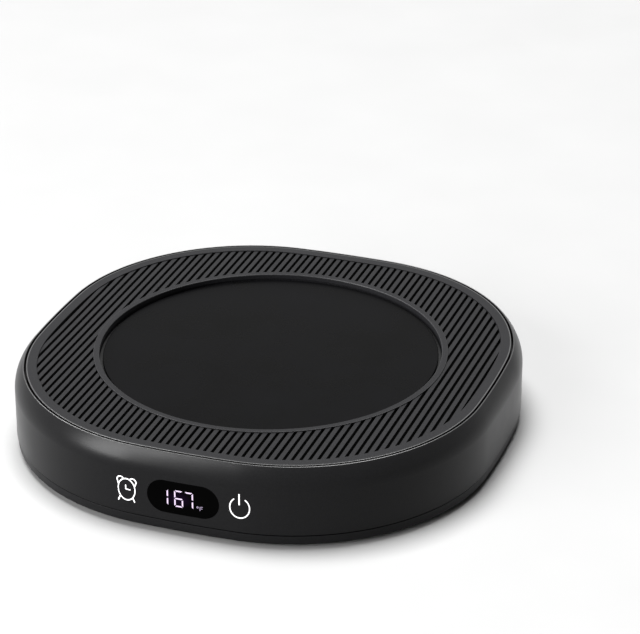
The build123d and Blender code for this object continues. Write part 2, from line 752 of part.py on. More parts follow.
def inlet_jack():
    """Inlet body with a round socket that faces the hole in the rear wall."""
    half = JACK_WIDTH / 2
    body = block((-half, half), (jack_y - JACK_LENGTH, jack_y), (board_top, board_top + JACK_HEIGHT))
    socket = Plane(origin=(0, jack_y, jack_z), z_dir=(0, -1, 0)) * Circle(JACK_SOCKET_RADIUS)
    return body - extrude(socket, amount=JACK_SOCKET_DEPTH)


def inlet_pin():
    """Centre pin in the inlet's socket."""
    start = jack_y - JACK_SOCKET_DEPTH
    pin = Plane(origin=(0, start, jack_z), z_dir=(0, 1, 0)) * Circle(JACK_PIN_RADIUS)
    return extrude(pin, amount=JACK_SOCKET_DEPTH - JACK_PIN_RECESS)


def capacitors():
    """Two upright electrolytic capacitors."""
    high = board_top + CAPACITOR_HEIGHT
    return group([disc(CAPACITOR_RADIUS, board_top, high, x, y) for x, y in CAPACITOR_PLACES])


def inductor():
    """Moulded power inductor with rounded corners."""
    body = centred(INDUCTOR_PLACE, INDUCTOR_SIZE, INDUCTOR_SIZE, board_top, INDUCTOR_HEIGHT)
    return fillet(body.edges().filter_by(Axis.Z), INDUCTOR_EDGE)


def control_chip():
    """Controller package."""
    return centred(CHIP_PLACE, CHIP_SIZE, CHIP_SIZE, board_top, CHIP_HEIGHT)


def heater_transistor():
    """Transistor that switches the heater."""
    return centred(MOSFET_PLACE, MOSFET_LENGTH, MOSFET_WIDTH, board_top, MOSFET_HEIGHT)


def buzzer():
    """Round buzzer with a sound hole."""
    high = board_top + BUZZER_HEIGHT
    body = disc(BUZZER_RADIUS, board_top, high, *BUZZER_PLACE)
    return body - disc(BUZZER_HOLE, high - BUZZER_HOLE, high, *BUZZER_PLACE)


def lead_sockets():
    """Sockets that the leads plug into: heater, sensor and cut-out."""
    heater_x = HEATER_LEAD_X + HEATER_LEAD_RUN + SOCKET_LENGTH / 2
    heater_y = sum(HEATER_LEAD_Y) / len(HEATER_LEAD_Y)
    sensor_x = -(SENSOR_LEAD_RUN + SOCKET_LENGTH / 2)
    cutout_x = CUTOUT_LENGTH / 2 + CUTOUT_LEAD_RUN
    size = (SOCKET_LENGTH, SOCKET_WIDTH, board_top)
    return group([
        centred((heater_x, heater_y), *size, SOCKET_HEIGHT),
        centred((sensor_x, 0), *size, SOCKET_HEIGHT),
        centred((cutout_x, CUTOUT_Y), *size, LOW_SOCKET_HEIGHT),
    ])


# ---------------------------------------------------------------- display and touch keys
def display_window():
    """Thin smoked lens that follows the wall's curve, let into the front."""
    shell = slab(LENS_RECESS, wall_bottom, top) - slab(
        LENS_RECESS + LENS_THICKNESS, wall_bottom, top
    )
    gap = 2 * LENS_CLEARANCE
    front = -HALF_WIDTH - OVERCUT
    return window_bar(WINDOW_LENGTH - gap, WINDOW_HEIGHT - gap, front, 0) & shell


def digit_module():
    """Display module: a nose through the wall's opening on a wider body."""
    edge = 2 * (LENS_LEDGE + NOSE_CLEARANCE)
    half = MODULE_LENGTH / 2
    body_y = -(outline_y(half + abs(WINDOW_SHIFT), WALL) - MODULE_WALL_GAP / 2)
    nose = window_bar(WINDOW_LENGTH - edge, WINDOW_HEIGHT - edge, nose_y, body_y)
    low = window_z - MODULE_HEIGHT / 2
    ends = (WINDOW_SHIFT - half, WINDOW_SHIFT + half)
    return nose + block(ends, (body_y, display_board_y), (low, low + MODULE_HEIGHT))


def display_board():
    """Upright board behind the front wall."""
    half = DISPLAY_BOARD_LENGTH / 2
    depth = (display_board_y, display_board_back)
    return block((-half, half), depth, (display_board_z, display_board_z + DISPLAY_BOARD_HEIGHT))


def touch_springs():
    """Sensing coils between the display board and the wall, behind the two keys."""
    springs = []
    for side in (-1, 1):
        x = WINDOW_SHIFT + side * KEY_OFFSET
        inner = outline_y(abs(x) + KEY_SPRING_RADIUS + KEY_SPRING_WIRE, WALL)
        length = inner + display_board_y - 2 * KEY_SPRING_CLEARANCE
        spring = coil(KEY_SPRING_RADIUS, KEY_SPRING_WIRE, length, KEY_SPRING_TURNS)
        start = display_board_y - KEY_SPRING_CLEARANCE
        springs.append(Pos(x, start, key_z) * Rot(90, 0, 0) * spring)
    return group(springs)


# ---------------------------------------------------------------- leads and flat cable
def heater_leads():
    """Two leads from the heater down through the stack to their socket."""
    level = board_top + HEATER_LEAD_LIFT
    x = HEATER_LEAD_X
    far = x + HEATER_LEAD_RUN
    routes = [[(x, y, heater_bottom), (x, y, level), (far, y, level)] for y in HEATER_LEAD_Y]
    return group([lead(route, HEATER_LEAD_RADIUS) for route in routes])


def sensor_leads():
    """Two leads from the thermistor to their socket."""
    level = board_top + SENSOR_LEAD_LIFT
    high = plate_bottom - THERMISTOR_LENGTH
    far = -SENSOR_LEAD_RUN
    routes = [[(0, y, high), (0, y, level), (far, y, level)] for y in SENSOR_LEAD_Y]
    return group([lead(route, SENSOR_LEAD_RADIUS) for route in routes])


def cutout_leads():
    """Two leads from the cut-out's end down to their socket."""
    start = CUTOUT_LENGTH / 2
    far = start + CUTOUT_LEAD_RUN
    level = carrier_top - CUTOUT_HEIGHT + CUTOUT_LEAD_INSET
    low = board_top + LOW_SOCKET_HEIGHT
    places = [CUTOUT_Y + y for y in CUTOUT_LEAD_Y]
    routes = [[(start, y, level), (far, y, level), (far, y, low)] for y in places]
    return group([lead(route, CUTOUT_LEAD_RADIUS) for route in routes])


def board_headers():
    """Headers at both ends of the flat cable."""
    low = board_top + RIBBON_LIFT - HEADER_HEIGHT / 2
    near = BOARD_FRONT + HEADER_EDGE
    half = HEADER_LENGTH / 2
    x = (ribbon_x - half, ribbon_x + half)
    main = block(x, (near, near + HEADER_WIDTH), (board_top, board_top + HEADER_HEIGHT))
    rear = (display_board_back, display_board_back + HEADER_WIDTH)
    return group([main, block(x, rear, (low, low + HEADER_HEIGHT))])


def flat_cable():
    """Flat cable arched from the main board's header to the display board's."""
    start = BOARD_FRONT + HEADER_EDGE
    end = display_board_back + HEADER_WIDTH
    low = board_top + RIBBON_LIFT
    high = low + RIBBON_ARCH
    points = [
        (ribbon_x, start, low),
        (ribbon_x, start - RIBBON_SHOULDER, high),
        (ribbon_x, end + RIBBON_SHOULDER, high),
        (ribbon_x, end, low),
    ]
    path = FilletPolyline(*points, radius=RIBBON_SHOULDER)
    section = Plane(origin=path @ 0, x_dir=(1, 0, 0), z_dir=path % 0)
    band = sweep(section * Rectangle(RIBBON_WIDTH, RIBBON_THICKNESS), path=path)
    return band & block((0, 2 * ribbon_x), (end, start), (board_top, top))


# ---------------------------------------------------------------- write the files
def main():
    """Builds every sub-part and writes one STEP file for each."""
    os.makedirs("parts", exist_ok=True)
    nodes = {
        "housing": casing_wall() - rear_span(),
        "housing_rear": casing_wall() & rear_span(),
        "top_deck": top_deck(),
        "base_pan": base_pan(),
        "rubber_feet": rubber_feet(),
        "casing_screws": casing_screws(),
        "heating_plate": heating_plate(),
        "plate_seal": plate_seal(),
        "heater_film": stack_layer(heater_bottom, plate_bottom, leads=False),
        "mica_sheet": stack_layer(mica_bottom, heater_bottom, leads=True),
        "fibre_pad": stack_layer(pad_bottom, mica_bottom, leads=True),
        "pressure_plate": stack_layer(carrier_top, pad_bottom, leads=True),
        "plate_carrier": plate_carrier(),
        "plate_screws": plate_screws(),
        "stop_screws": stop_screws(),
        "stop_washers": stop_washers(),
        "return_springs": return_springs(),
        "thermistor": thermistor(),
        "thermal_cutout": thermal_cutout(),
        "main_board": main_board(),
        "board_screws": board_screws(),
        "weight_switch": weight_switch(),
        "switch_plunger": switch_plunger(),
        "inlet_jack": inlet_jack(),
        "inlet_pin": inlet_pin(),
        "capacitors": capacitors(),
        "inductor": inductor(),
        "control_chip": control_chip(),
        "heater_transistor": heater_transistor(),
        "buzzer": buzzer(),
        "lead_sockets": lead_sockets(),
        "display_window": display_window(),
        "digit_module": digit_module(),
        "display_board": display_board(),
        "touch_springs": touch_springs(),
        "heater_leads": heater_leads(),
        "sensor_leads": sensor_leads(),
        "cutout_leads": cutout_leads(),
        "board_headers": board_headers(),
        "flat_cable": flat_cable(),
    }
    for name, shape in nodes.items():
        export_step(shape, f"parts/{name}.step")


main()
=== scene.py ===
# %% [markdown]
# # An electric mug warmer
# A low, rounded-square desk appliance in charcoal plastic. A mug stands in a round well on a
# heated plate. The front wall has a lit display between two touch marks. The lesson loads
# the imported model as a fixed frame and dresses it: each piece that shows is modelled again
# with soft edges and a fine mesh, and every piece gets a finish made from nodes.

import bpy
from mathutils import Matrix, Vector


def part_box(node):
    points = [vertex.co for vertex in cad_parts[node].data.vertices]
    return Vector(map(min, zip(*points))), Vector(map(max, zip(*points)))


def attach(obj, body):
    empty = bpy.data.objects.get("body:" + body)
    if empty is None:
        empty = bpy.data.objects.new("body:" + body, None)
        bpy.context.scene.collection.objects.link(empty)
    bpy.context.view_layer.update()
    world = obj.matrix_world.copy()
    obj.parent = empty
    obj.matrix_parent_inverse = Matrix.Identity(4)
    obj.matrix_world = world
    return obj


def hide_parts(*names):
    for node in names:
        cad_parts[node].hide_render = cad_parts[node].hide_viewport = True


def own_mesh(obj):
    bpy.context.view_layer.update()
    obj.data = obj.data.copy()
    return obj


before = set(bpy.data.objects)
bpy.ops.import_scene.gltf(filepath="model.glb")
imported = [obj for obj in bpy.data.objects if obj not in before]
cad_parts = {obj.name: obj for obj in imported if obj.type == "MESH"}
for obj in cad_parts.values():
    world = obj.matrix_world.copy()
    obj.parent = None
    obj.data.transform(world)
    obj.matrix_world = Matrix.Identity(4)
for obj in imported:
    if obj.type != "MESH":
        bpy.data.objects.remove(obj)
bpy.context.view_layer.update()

from math import acos, atan2, ceil, cos, degrees, hypot, pi, radians, sin, sqrt

import bmesh
import bpy
from mathutils import Matrix, Vector

# %% [markdown]
# ## Sizes
# Sizes that a neighbour depends on are read from the frame, so a piece that is modelled
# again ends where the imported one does. The rest, such as a corner's radius, is written once
# here. Lengths are in millimetres and become metres where a mesh is made.

# %% Sizes from the frame
MM = 0.001


def corners(node):
    """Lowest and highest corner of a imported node, in millimetres."""
    low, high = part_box(node)
    return low / MM, high / MM


housing_low, housing_high = corners("housing")
deck_low, deck_high = corners("top_deck")
base_low, base_high = corners("base_pan")
plate_low, plate_high = corners("heating_plate")
seal_low, seal_high = corners("plate_seal")
lens_low, lens_high = corners("display_window")
carrier_low, carrier_high = corners("plate_carrier")
foot_low, foot_high = corners("rubber_feet")

TOP = housing_high.z
HALF_WIDTH = corners("housing_rear")[1].y
WALL_BOTTOM = housing_low.z
print("body", round(2 * HALF_WIDTH, 2), "mm wide and", round(TOP, 2), "mm high")

# %% [markdown]
# ## The plan
# Seen from above the body is a soft square: four gentle side arcs joined by four corner
# arcs, with no kink where they meet. Moving the plan inwards by an inset keeps the same arc
# centres, so one set of centres serves the wall, the seam, the deck and the base.

# %% Centres of the plan's arcs
SIDE_RADIUS = 290.35
CORNER_RADIUS = 55.85
side_back = SIDE_RADIUS - HALF_WIDTH
corner_middle = (sqrt(2 * (SIDE_RADIUS - CORNER_RADIUS) ** 2 - side_back**2) - side_back) / 2
corner_start = atan2(corner_middle, corner_middle + side_back)
SIDE_STEPS = 10
CORNER_STEPS = 42
PLAN_STEPS = 4 * (SIDE_STEPS + CORNER_STEPS)


def plan_y(x, inset):
    """Distance from the middle to the moved plan's front, at this x."""
    side = SIDE_RADIUS - inset
    if abs(x) < side * sin(corner_start):
        return sqrt(side**2 - x**2) - side_back
    corner = CORNER_RADIUS - inset
    return corner_middle + sqrt(corner**2 - (abs(x) - corner_middle) ** 2)


def inset_of(at):
    """How far a place in plan lies inside the outline."""
    near, far = sorted((abs(at.x), abs(at.y)))
    if atan2(near, far + side_back) < corner_start:
        return SIDE_RADIUS - hypot(near, far + side_back)
    return CORNER_RADIUS - hypot(near - corner_middle, far - corner_middle)


def corner_places(inset, turn):
    """The four mirrored places at this inset from the corner arcs and angle on them."""
    reach = CORNER_RADIUS - inset
    x = corner_middle + reach * cos(turn)
    y = corner_middle + reach * sin(turn)
    return [(sx * x, sy * y) for sx in (-1, 1) for sy in (-1, 1)]


print("corner arcs centred", round(corner_middle, 2), "mm out")

# %% [markdown]
# ## Modelling helpers
# Moulded parts are sections carried along a path. `sweep` spins a section round each arc
# centre of the plan in turn and `turned` spins it round an upright axis, as on a lathe.
# `ease` gives sharp edges a mould's small radius, because a perfectly sharp edge catches no
# light and looks drawn.

# %% Sections and spins
UP = Vector((0, 0, 1))
FRONT = Vector((0, -1, 0))
# Points nearer than WELD are one, and heights nearer than LEVEL are the same
WELD = 2e-3
LEVEL = 1e-3


def level_with(at, height):
    """Whether a place is at this height."""
    return abs(at.z - height) < LEVEL


def only_verts(geom):
    """The vertices among the parts that an operator returned."""
    return [part for part in geom if isinstance(part, bmesh.types.BMVert)]


def polar(radius, turns):
    """Places in plan on a circle round the middle; the turns are in degrees."""
    return [(radius * cos(radians(turn)), radius * sin(radians(turn))) for turn in turns]


def stair(*marks):
    """Section of level and upright runs, from a radius, a height, the next radius and so on."""
    pairs = zip(marks, marks[1:])
    return [pair[::-1] if n % 2 else pair for n, pair in enumerate(pairs)]


def disc(radius, low, high):
    """Section of a solid disc or post."""
    return stair(0, low, radius, high, 0)


def arc(centre, radius, start, end, steps):
    """Points of an arc in a section: angles in degrees from outwards towards upwards."""
    turns = [radians(start + (end - start) * n / steps) for n in range(steps + 1)]
    return [(centre[0] + radius * cos(t), centre[1] + radius * sin(t)) for t in turns]


def chain(bm, points, closed):
    """Vertices and edges through the points, in order."""
    verts = [bm.verts.new(point) for point in points]
    pairs = list(zip(verts, verts[1:]))
    if closed:
        pairs.append((verts[-1], verts[0]))
    return verts + [bm.edges.new(pair) for pair in pairs]


def sweep(bm, section, closed=True):
    """Carries a section of (inset, height) round the plan."""
    turn = Matrix.Rotation(-corner_start, 4, UP)
    back = Vector((-side_back, 0, 0))
    points = [turn @ Vector((SIDE_RADIUS - inset, 0, z)) + back for inset, z in section]
    geom = chain(bm, points, closed)
    for quarter in range(4):
        face = Matrix.Rotation(quarter * pi / 2, 3, UP)
        for centre, angle, steps in (
            (back, 2 * corner_start, SIDE_STEPS),
            (Vector((corner_middle, corner_middle, 0)), pi / 2 - 2 * corner_start, CORNER_STEPS),
        ):
            spun = bmesh.ops.spin(
                bm, geom=geom, cent=face @ centre, axis=UP, angle=angle, steps=steps
            )
            geom = spun["geom_last"]
    bmesh.ops.remove_doubles(bm, verts=bm.verts, dist=WELD)


def turned(bm, section, steps, places=((0, 0),), closed=False):
    """Spins a section of (radius, height) once round an upright axis at each place."""
    for x, y in places:
        start = chain(bm, [(x + radius, y, z) for radius, z in section], closed)
        bmesh.ops.spin(
            bm, geom=start, cent=(x, y, 0), axis=UP, angle=2 * pi, steps=steps, use_merge=True
        )
        bmesh.ops.remove_doubles(bm, verts=bm.verts, dist=WELD)


def bevelled(bm, geom, width, segments, affect="EDGES", clamp=False):
    """Rounds edges, or the corners of flat faces."""
    bmesh.ops.bevel(
        bm, geom=geom, offset=width, offset_type="OFFSET", segments=segments,
        profile=0.5, affect=affect, clamp_overlap=clamp, material=-1,
    )


def ease(bm, width, limit=35, where=None, segments=2):
    """Rounds the edges that turn by more than the limit, and that pass the test."""
    bmesh.ops.recalc_face_normals(bm, faces=bm.faces)
    sharp = [
        edge for edge in bm.edges
        if len(edge.link_faces) == 2 and edge.calc_face_angle() > radians(limit)
        and (where is None or where((edge.verts[0].co + edge.verts[1].co) / 2))
    ]
    bevelled(bm, sharp, width, segments, clamp=True)


# %% [markdown]
# A finished mesh becomes an object at the origin, rides on its body and takes its material.
# Smooth shading would smear light over a corner, so edges that turn by more than 35 degrees
# stay crisp, and weighted normals keep large faces flat beside rounded edges.

# %% Finished pieces
SMOOTH_LIMIT = radians(35)


def new_object(name, data):
    """Object of a mesh, curve, light or camera, in the scene."""
    obj = bpy.data.objects.new(name, data)
    bpy.context.scene.collection.objects.link(obj)
    return obj


def baked_mesh(obj):
    """Mesh of the object as it shows, with its modifiers or its thickness."""
    depsgraph = bpy.context.evaluated_depsgraph_get()
    return bpy.data.meshes.new_from_object(obj.evaluated_get(depsgraph))


def to_object(bm, name):
    """Object of the mesh, turned from millimetres to metres."""
    bmesh.ops.scale(bm, vec=(MM, MM, MM), verts=bm.verts)
    mesh = bpy.data.meshes.new(name)
    bm.to_mesh(mesh)
    bm.free()
    return new_object(name, mesh)


def finish_piece(obj, body, material, slot, *nodes):
    """Shades the piece, gives it its material and ties it to the frame."""
    obj.data.materials.append(material)
    obj.data.shade_smooth()
    obj.data.set_sharp_from_angle(angle=SMOOTH_LIMIT)
    weights = obj.modifiers.new("weighted_normals", "WEIGHTED_NORMAL")
    weights.keep_sharp = True
    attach(obj, body)
    if nodes:
        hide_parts(*nodes)
    low, high = Vector(obj.bound_box[0]), Vector(obj.bound_box[6])
    size = [round(s / MM, 2) for s in high - low]
    print(obj.name, "faces", len(obj.data.polygons), "size in mm", size)
    return obj


def piece(bm, name, body, material, slot, *nodes):
    """Piece of a mesh in millimetres."""
    bmesh.ops.recalc_face_normals(bm, faces=bm.faces)
    return finish_piece(to_object(bm, name), body, material, slot, *nodes)


def refinish(obj, material, where):
    """Gives the faces that pass the test on their centre in millimetres another material."""
    obj.data.materials.append(material)
    chosen = [face for face in obj.data.polygons if where(face.center / MM, face.normal)]
    for face in chosen:
        face.material_index = len(obj.data.materials) - 1
    print(material.name, "on", len(chosen), "faces of", obj.name)


def carve(obj, bm, operation="DIFFERENCE"):
    """Cuts the shape of a mesh in millimetres out of the object, or joins it on."""
    bmesh.ops.recalc_face_normals(bm, faces=bm.faces)
    cutter = to_object(bm, "cutter")
    boolean = obj.modifiers.new("carve", "BOOLEAN")
    boolean.object = cutter
    boolean.operation = operation
    boolean.solver = "EXACT"
    mesh = baked_mesh(obj)
    obj.modifiers.clear()
    obj.data = mesh
    bpy.data.objects.remove(cutter)


# %% [markdown]
# ## Finishes
# One function adds a node, sets its values and links its inputs. In the moulded plastics the
# base colour wanders a little, as pigment does, the gloss varies in soft patches, as handling
# leaves it, and a fine bump stands for the mould's spark-eroded grain. Real grain is 0.03 to
# 0.1 mm, too fine to show here, so it is drawn near 0.3 mm.

# %% Nodes and colours
# A noise rarely leaves these values, so its colours and gloss are spread between them
NOISE_MIDDLE = (0.3, 0.7)


def srgb(code):
    """Linear colour with alpha from a hex value such as '1b1c1e'."""
    channels = [int(code[n:n + 2], 16) / 255 for n in (0, 2, 4)]
    linear = [c / 12.92 if c <= 0.04045 else ((c + 0.055) / 1.055) ** 2.4 for c in channels]
    return (*linear, 1.0)


def feed(tree, node, inputs):
    """Gives the node's inputs values, or links them to other nodes' sockets."""
    for name, value in inputs.items():
        if isinstance(value, bpy.types.NodeSocket):
            tree.links.new(value, node.inputs[name])
        else:
            node.inputs[name].default_value = value


def add(tree, kind, inputs, tones=(), **settings):
    """Adds a node with its settings, inputs and two tones. Returns its outputs."""
    made = tree.nodes.new(kind)
    for name, value in settings.items():
        setattr(made, name, value)
    feed(tree, made, inputs)
    if tones:
        for stop, at, code in zip(made.color_ramp.elements, NOISE_MIDDLE, tones):
            stop.position = at
            stop.color = srgb(code)
    return made.outputs


def new_material(name):
    """Empty material with its tree, its surface shader and its object coordinates."""
    material = bpy.data.materials.new(name)
    material.use_nodes = True
    tree = material.node_tree
    place = add(tree, "ShaderNodeTexCoord", {})["Object"]
    return material, tree, tree.nodes["Principled BSDF"], place


def lumps(place, size_mm, detail=2.0, roughness=0.5):
    """Inputs of a noise whose lumps are about this size."""
    return {"Vector": place, "Scale": 1 / (size_mm * MM), "Detail": detail, "Roughness": roughness}


def between(value, low, high):
    """Inputs that spread the middle of a noise over low to high."""
    ends = {"From Min": NOISE_MIDDLE[0], "From Max": NOISE_MIDDLE[1], "To Min": low, "To Max": high}
    return {"Value": value, **ends}


# %% Moulded plastics
PLASTIC_IOR = 1.49


def moulded(name, dark, light, gloss, grain_mm, depth_mm, specular=0.5, patch_mm=14.0):
    """Pigmented plastic from an eroded mould. gloss is the lowest and highest roughness."""
    material, tree, shader, place = new_material(name)
    patches = add(tree, "ShaderNodeTexNoise", lumps(place, patch_mm, 3.0))["Fac"]
    grain = add(tree, "ShaderNodeTexNoise", lumps(place, grain_mm, 1.0))["Fac"]
    bump = {"Height": grain, "Distance": depth_mm * MM}
    feed(tree, shader, {
        "Base Color": add(tree, "ShaderNodeValToRGB", {"Fac": grain}, (dark, light))["Color"],
        "Roughness": add(tree, "ShaderNodeMapRange", between(patches, *gloss))["Result"],
        "Normal": add(tree, "ShaderNodeBump", bump)["Normal"],
        "IOR": PLASTIC_IOR,
        "Specular IOR Level": specular,
    })
    return material


# ABS, spark-eroded: nearly black, with a broad soft sheen where it turns to the light
housing_abs = moulded("satin_charcoal_abs", "09090a", "101011", (0.28, 0.33), 0.3, 0.003, 0.13)
# Painted shade for the grooves, the steps beside the ribbed field and the shadow gap:
# near-black and barely reflective, on the mould's coarse finish
groove_painted_shade = moulded("rough_nylon_painted_shade", "050505", "080808", (0.85, 0.95), 0.35, 0.012, 0.05)
# Glass-filled nylon under the mug: greyer and drier, its fibres break the sheen up.
# Its colour and reflection are also turned down a little: painted shade of the mug, which is not
# built
deck_nylon_with_painted_shade = moulded(
    "matt_grey_nylon_with_painted_shade", "111112", "1b1b1d", (0.45, 0.55), 0.35, 0.010, 0.1
)
# Painted highlight on the edges of both: brighter copies of each plastic draw the two thin
# light lines round the deck
painted_rim_highlight = moulded("housing_rim_painted_highlight", "0c0c0d", "141415", (0.3, 0.36), 0.4, 0.002, 0.7)
painted_deck_edge_highlight = moulded("deck_edge_painted_highlight", "121213", "1b1b1c", (0.3, 0.36), 0.4, 0.002, 1.0)
# Weaker painted highlight on the edges of the collar and the ribs, which keep more of the grain
painted_rib_edge_highlight = moulded("rib_and_collar_edge_painted_highlight", "141415", "1e1e20", (0.4, 0.46), 0.4, 0.004, 0.22)
# ABS of the base, a little duller than the housing
base_abs = moulded("matt_black_abs", "09090a", "101011", (0.34, 0.42), 0.35, 0.004, 0.13)
# Soft rubber of the feet: dry and slightly dusty
foot_rubber = moulded("black_foot_rubber", "121212", "1c1c1b", (0.7, 0.85), 0.4, 0.02, 0.3, 4.0)
# Silicone seal: smooth, with a greasy sheen
seal_silicone = moulded("black_silicone", "060606", "0a0a0a", (0.42, 0.52), 0.5, 0.003, 0.3)

# %% [markdown]
# The mug stands on a coated aluminium plate. The coating is sprayed and baked, so it is
# glossier than the plastic and has a faint orange peel. Its near-black colour and weak
# reflection are partly painted shade, for the mug that is not built. The display lens is
# polished acrylic dyed nearly black: almost a mirror, with only the finest waviness.

# %% Coating and lens
WEAR_MM = 22.0


def coated(name, dark, light, gloss, peel_mm, depth_mm, specular):
    """Smooth dark coating with orange peel."""
    material, tree, shader, place = new_material(name)
    peel = add(tree, "ShaderNodeTexNoise", lumps(place, peel_mm))["Fac"]
    wear = add(tree, "ShaderNodeTexNoise", lumps(place, WEAR_MM, 4.0, 0.6))["Fac"]
    bump = {"Height": peel, "Distance": depth_mm * MM}
    feed(tree, shader, {
        "Base Color": add(tree, "ShaderNodeValToRGB", {"Fac": wear}, (dark, light))["Color"],
        "Roughness": add(tree, "ShaderNodeMapRange", between(wear, *gloss))["Result"],
        "Normal": add(tree, "ShaderNodeBump", bump)["Normal"],
        "Specular IOR Level": specular,
    })
    return material


# Partly painted shade: darker and far less reflective than the bare coating, for the mug's shade
plate_coating = coated(
    "baked_black_coating_with_painted_mug_shade", "030303", "050506", (0.24, 0.32), 1.6, 0.004, 0.022
)
lens_acrylic = coated("polished_smoked_acrylic", "010101", "020202", (0.06, 0.12), 3.0, 0.002, 0.01)

# The lit figures scatter a faint violet cloud inside the lens, strongest at their middle
GLOW_CENTRE = (-0.6, -HALF_WIDTH, TOP - 11.9)
GLOW_REACH = (5.6, 50.0, 3.5)
tree = lens_acrylic.node_tree
spot = {
    "Vector": add(tree, "ShaderNodeTexCoord", {})["Object"],
    "Location": [at * MM for at in GLOW_CENTRE],
    "Scale": [reach * MM for reach in GLOW_REACH],
}
cloud = {"Vector": add(tree, "ShaderNodeMapping", spot, vector_type="TEXTURE")["Vector"]}
near = add(tree, "ShaderNodeTexGradient", cloud, gradient_type="SPHERICAL")["Fac"]
glow = add(tree, "ShaderNodeValToRGB", {"Fac": near}, ("000000", "11051a"))["Color"]
lens_light = {"Emission Color": glow, "Emission Strength": 1.0}
feed(tree, tree.nodes["Principled BSDF"], lens_light)

# %% [markdown]
# The marks for timer and power are white ink, plain and rough, with a faint painted glow
# that keeps them bright. The digits are light-emitting segments behind the smoked lens: they
# glow evenly and a little violet, as a white diode does behind a cheap diffuser.

# %% Ink and light
DIFFUSER_MM = 0.8


def glowing(name, core, strength, dark, light):
    """Surface that gives off its own even light."""
    material, tree, shader, place = new_material(name)
    cloud = add(tree, "ShaderNodeTexNoise", lumps(place, DIFFUSER_MM))["Fac"]
    feed(tree, shader, {
        "Emission Color": add(tree, "ShaderNodeValToRGB", {"Fac": cloud}, (dark, light))["Color"],
        "Emission Strength": strength,
        "Base Color": srgb(core),
        "Roughness": 0.6,
    })
    return material


# White ink with a faint painted glow
ink_with_painted_glow = glowing("white_ink_with_painted_glow", "e8e8e8", 0.14, "e9e9e9", "f4f4f4")
segment_light = glowing("violet_white_segment", "1a181c", 1.12, "f2dafe", "f9e6ff")
unit_light = glowing("dim_violet_segment", "1a181c", 0.62, "cbb6dd", "d8c8e8")

# %% [markdown]
# ## Housing
# The outer wall is one moulding: an upright wall that bends in at the shoulder, ends in a
# thin rim and steps down to a ledge that carries the deck. Its section is carried round the
# plan first, and the display opening and the inlet's hole are cut afterwards, which keeps
# the long wall smooth.

# %% Housing section
WALL = 2.2
SHOULDER_RADIUS = 9.0
RIM_INSET = 2.5
DECK_GAP = 0.6
LEDGE_WIDTH = 3.6
LEDGE_THICKNESS = 1.6
deck_inset = HALF_WIDTH - deck_high.y
opening_inset = deck_inset - DECK_GAP
ledge_inset = opening_inset + LEDGE_WIDTH
DECK_THICKNESS = 2.4
deck_bottom = TOP - DECK_THICKNESS
ledge_bottom = deck_bottom - LEDGE_THICKNESS

shoulder_turn = degrees(acos((SHOULDER_RADIUS - RIM_INSET) / SHOULDER_RADIUS))
shoulder_low = TOP - SHOULDER_RADIUS * sin(radians(shoulder_turn))
wall_section = [(WALL, WALL_BOTTOM), (0, WALL_BOTTOM)]
wall_section += arc((SHOULDER_RADIUS, shoulder_low), SHOULDER_RADIUS, 180, 180 - shoulder_turn, 14)
wall_section += [(opening_inset, TOP)]
wall_section += stair(opening_inset, deck_bottom, ledge_inset, ledge_bottom, WALL)
print("shoulder turns", round(shoulder_turn, 1), "degrees")

# %% Sweep and ease the housing
SEAM_EASE = 0.12
RIM_EASE = 0.12

bm = bmesh.new()
sweep(bm, wall_section)
ease(bm, SEAM_EASE, where=lambda at: level_with(at, WALL_BOTTOM))
ease(bm, RIM_EASE, where=lambda at: level_with(at, TOP), segments=3)
bmesh.ops.recalc_face_normals(bm, faces=bm.faces)
housing = to_object(bm, "housing_wall")

# %% [markdown]
# The window is a slot with round ends. A straight bar whose corners are rounded by half its
# height gives that outline, and it serves for the cutter, the lens and the marks' strokes.

# %% Round-ended bars


def strip(bm, start, end, side):
    """Flat strip whose ends reach side to either hand. Returns its four corners."""
    edge = chain(bm, [start + side, start - side], False)[-1]
    verts = only_verts(bmesh.ops.extrude_edge_only(bm, edges=[edge])["geom"])
    bmesh.ops.translate(bm, verts=verts, vec=end - start)
    return list(edge.verts) + verts


def round_tips(bm, tips, width, rounds):
    """Rounds the tip corners of a flat stroke. One round gives a pointed tip."""
    nearly_half = width * 0.499
    bevelled(bm, tips, nearly_half, rounds, "VERTICES")


def bar(bm, start, end, width, rounds=8):
    """Flat bar in the front plane between two points, its corners rounded into half-discs."""
    start, end = Vector(start), Vector(end)
    side = FRONT.cross((end - start).normalized()) * width / 2
    round_tips(bm, strip(bm, start, end, side), width, rounds)


def thicken(bm, depth):
    """Gives flat faces in the front plane a thickness towards the rear."""
    grown = bmesh.ops.extrude_face_region(bm, geom=bm.faces[:], use_keep_orig=True)["geom"]
    bmesh.ops.translate(bm, verts=only_verts(grown), vec=(0, depth, 0))
    bmesh.ops.recalc_face_normals(bm, faces=bm.faces)


# %% Cut the window and the inlet
# Cutters reach past the surfaces they open
OVERCUT = 1.0
window_x = (lens_low.x + lens_high.x) / 2
window_z = (lens_low.z + lens_high.z) / 2
LENS_CLEARANCE = 0.08
LENS_LEDGE = 1.0
LENS_SEAT = 1.15
window_length = lens_high.x - lens_low.x + 2 * LENS_CLEARANCE
window_height = lens_high.z - lens_low.z + 2 * LENS_CLEARANCE


def window_bar(bm, shrink, y):
    """Flat slot shape, smaller than the window by shrink all round."""
    half = window_length / 2 - shrink
    ends = [(window_x - half, y, window_z), (window_x + half, y, window_z)]
    bar(bm, *ends, window_height - 2 * shrink, 16)


def lay_back(bm, move):
    """Turns a mesh so that its top points to the rear, then moves it."""
    quarter = Matrix.Rotation(-pi / 2, 3, "X")
    bmesh.ops.rotate(bm, verts=bm.verts, matrix=quarter, cent=(0, 0, 0))
    bmesh.ops.translate(bm, verts=bm.verts, vec=move)


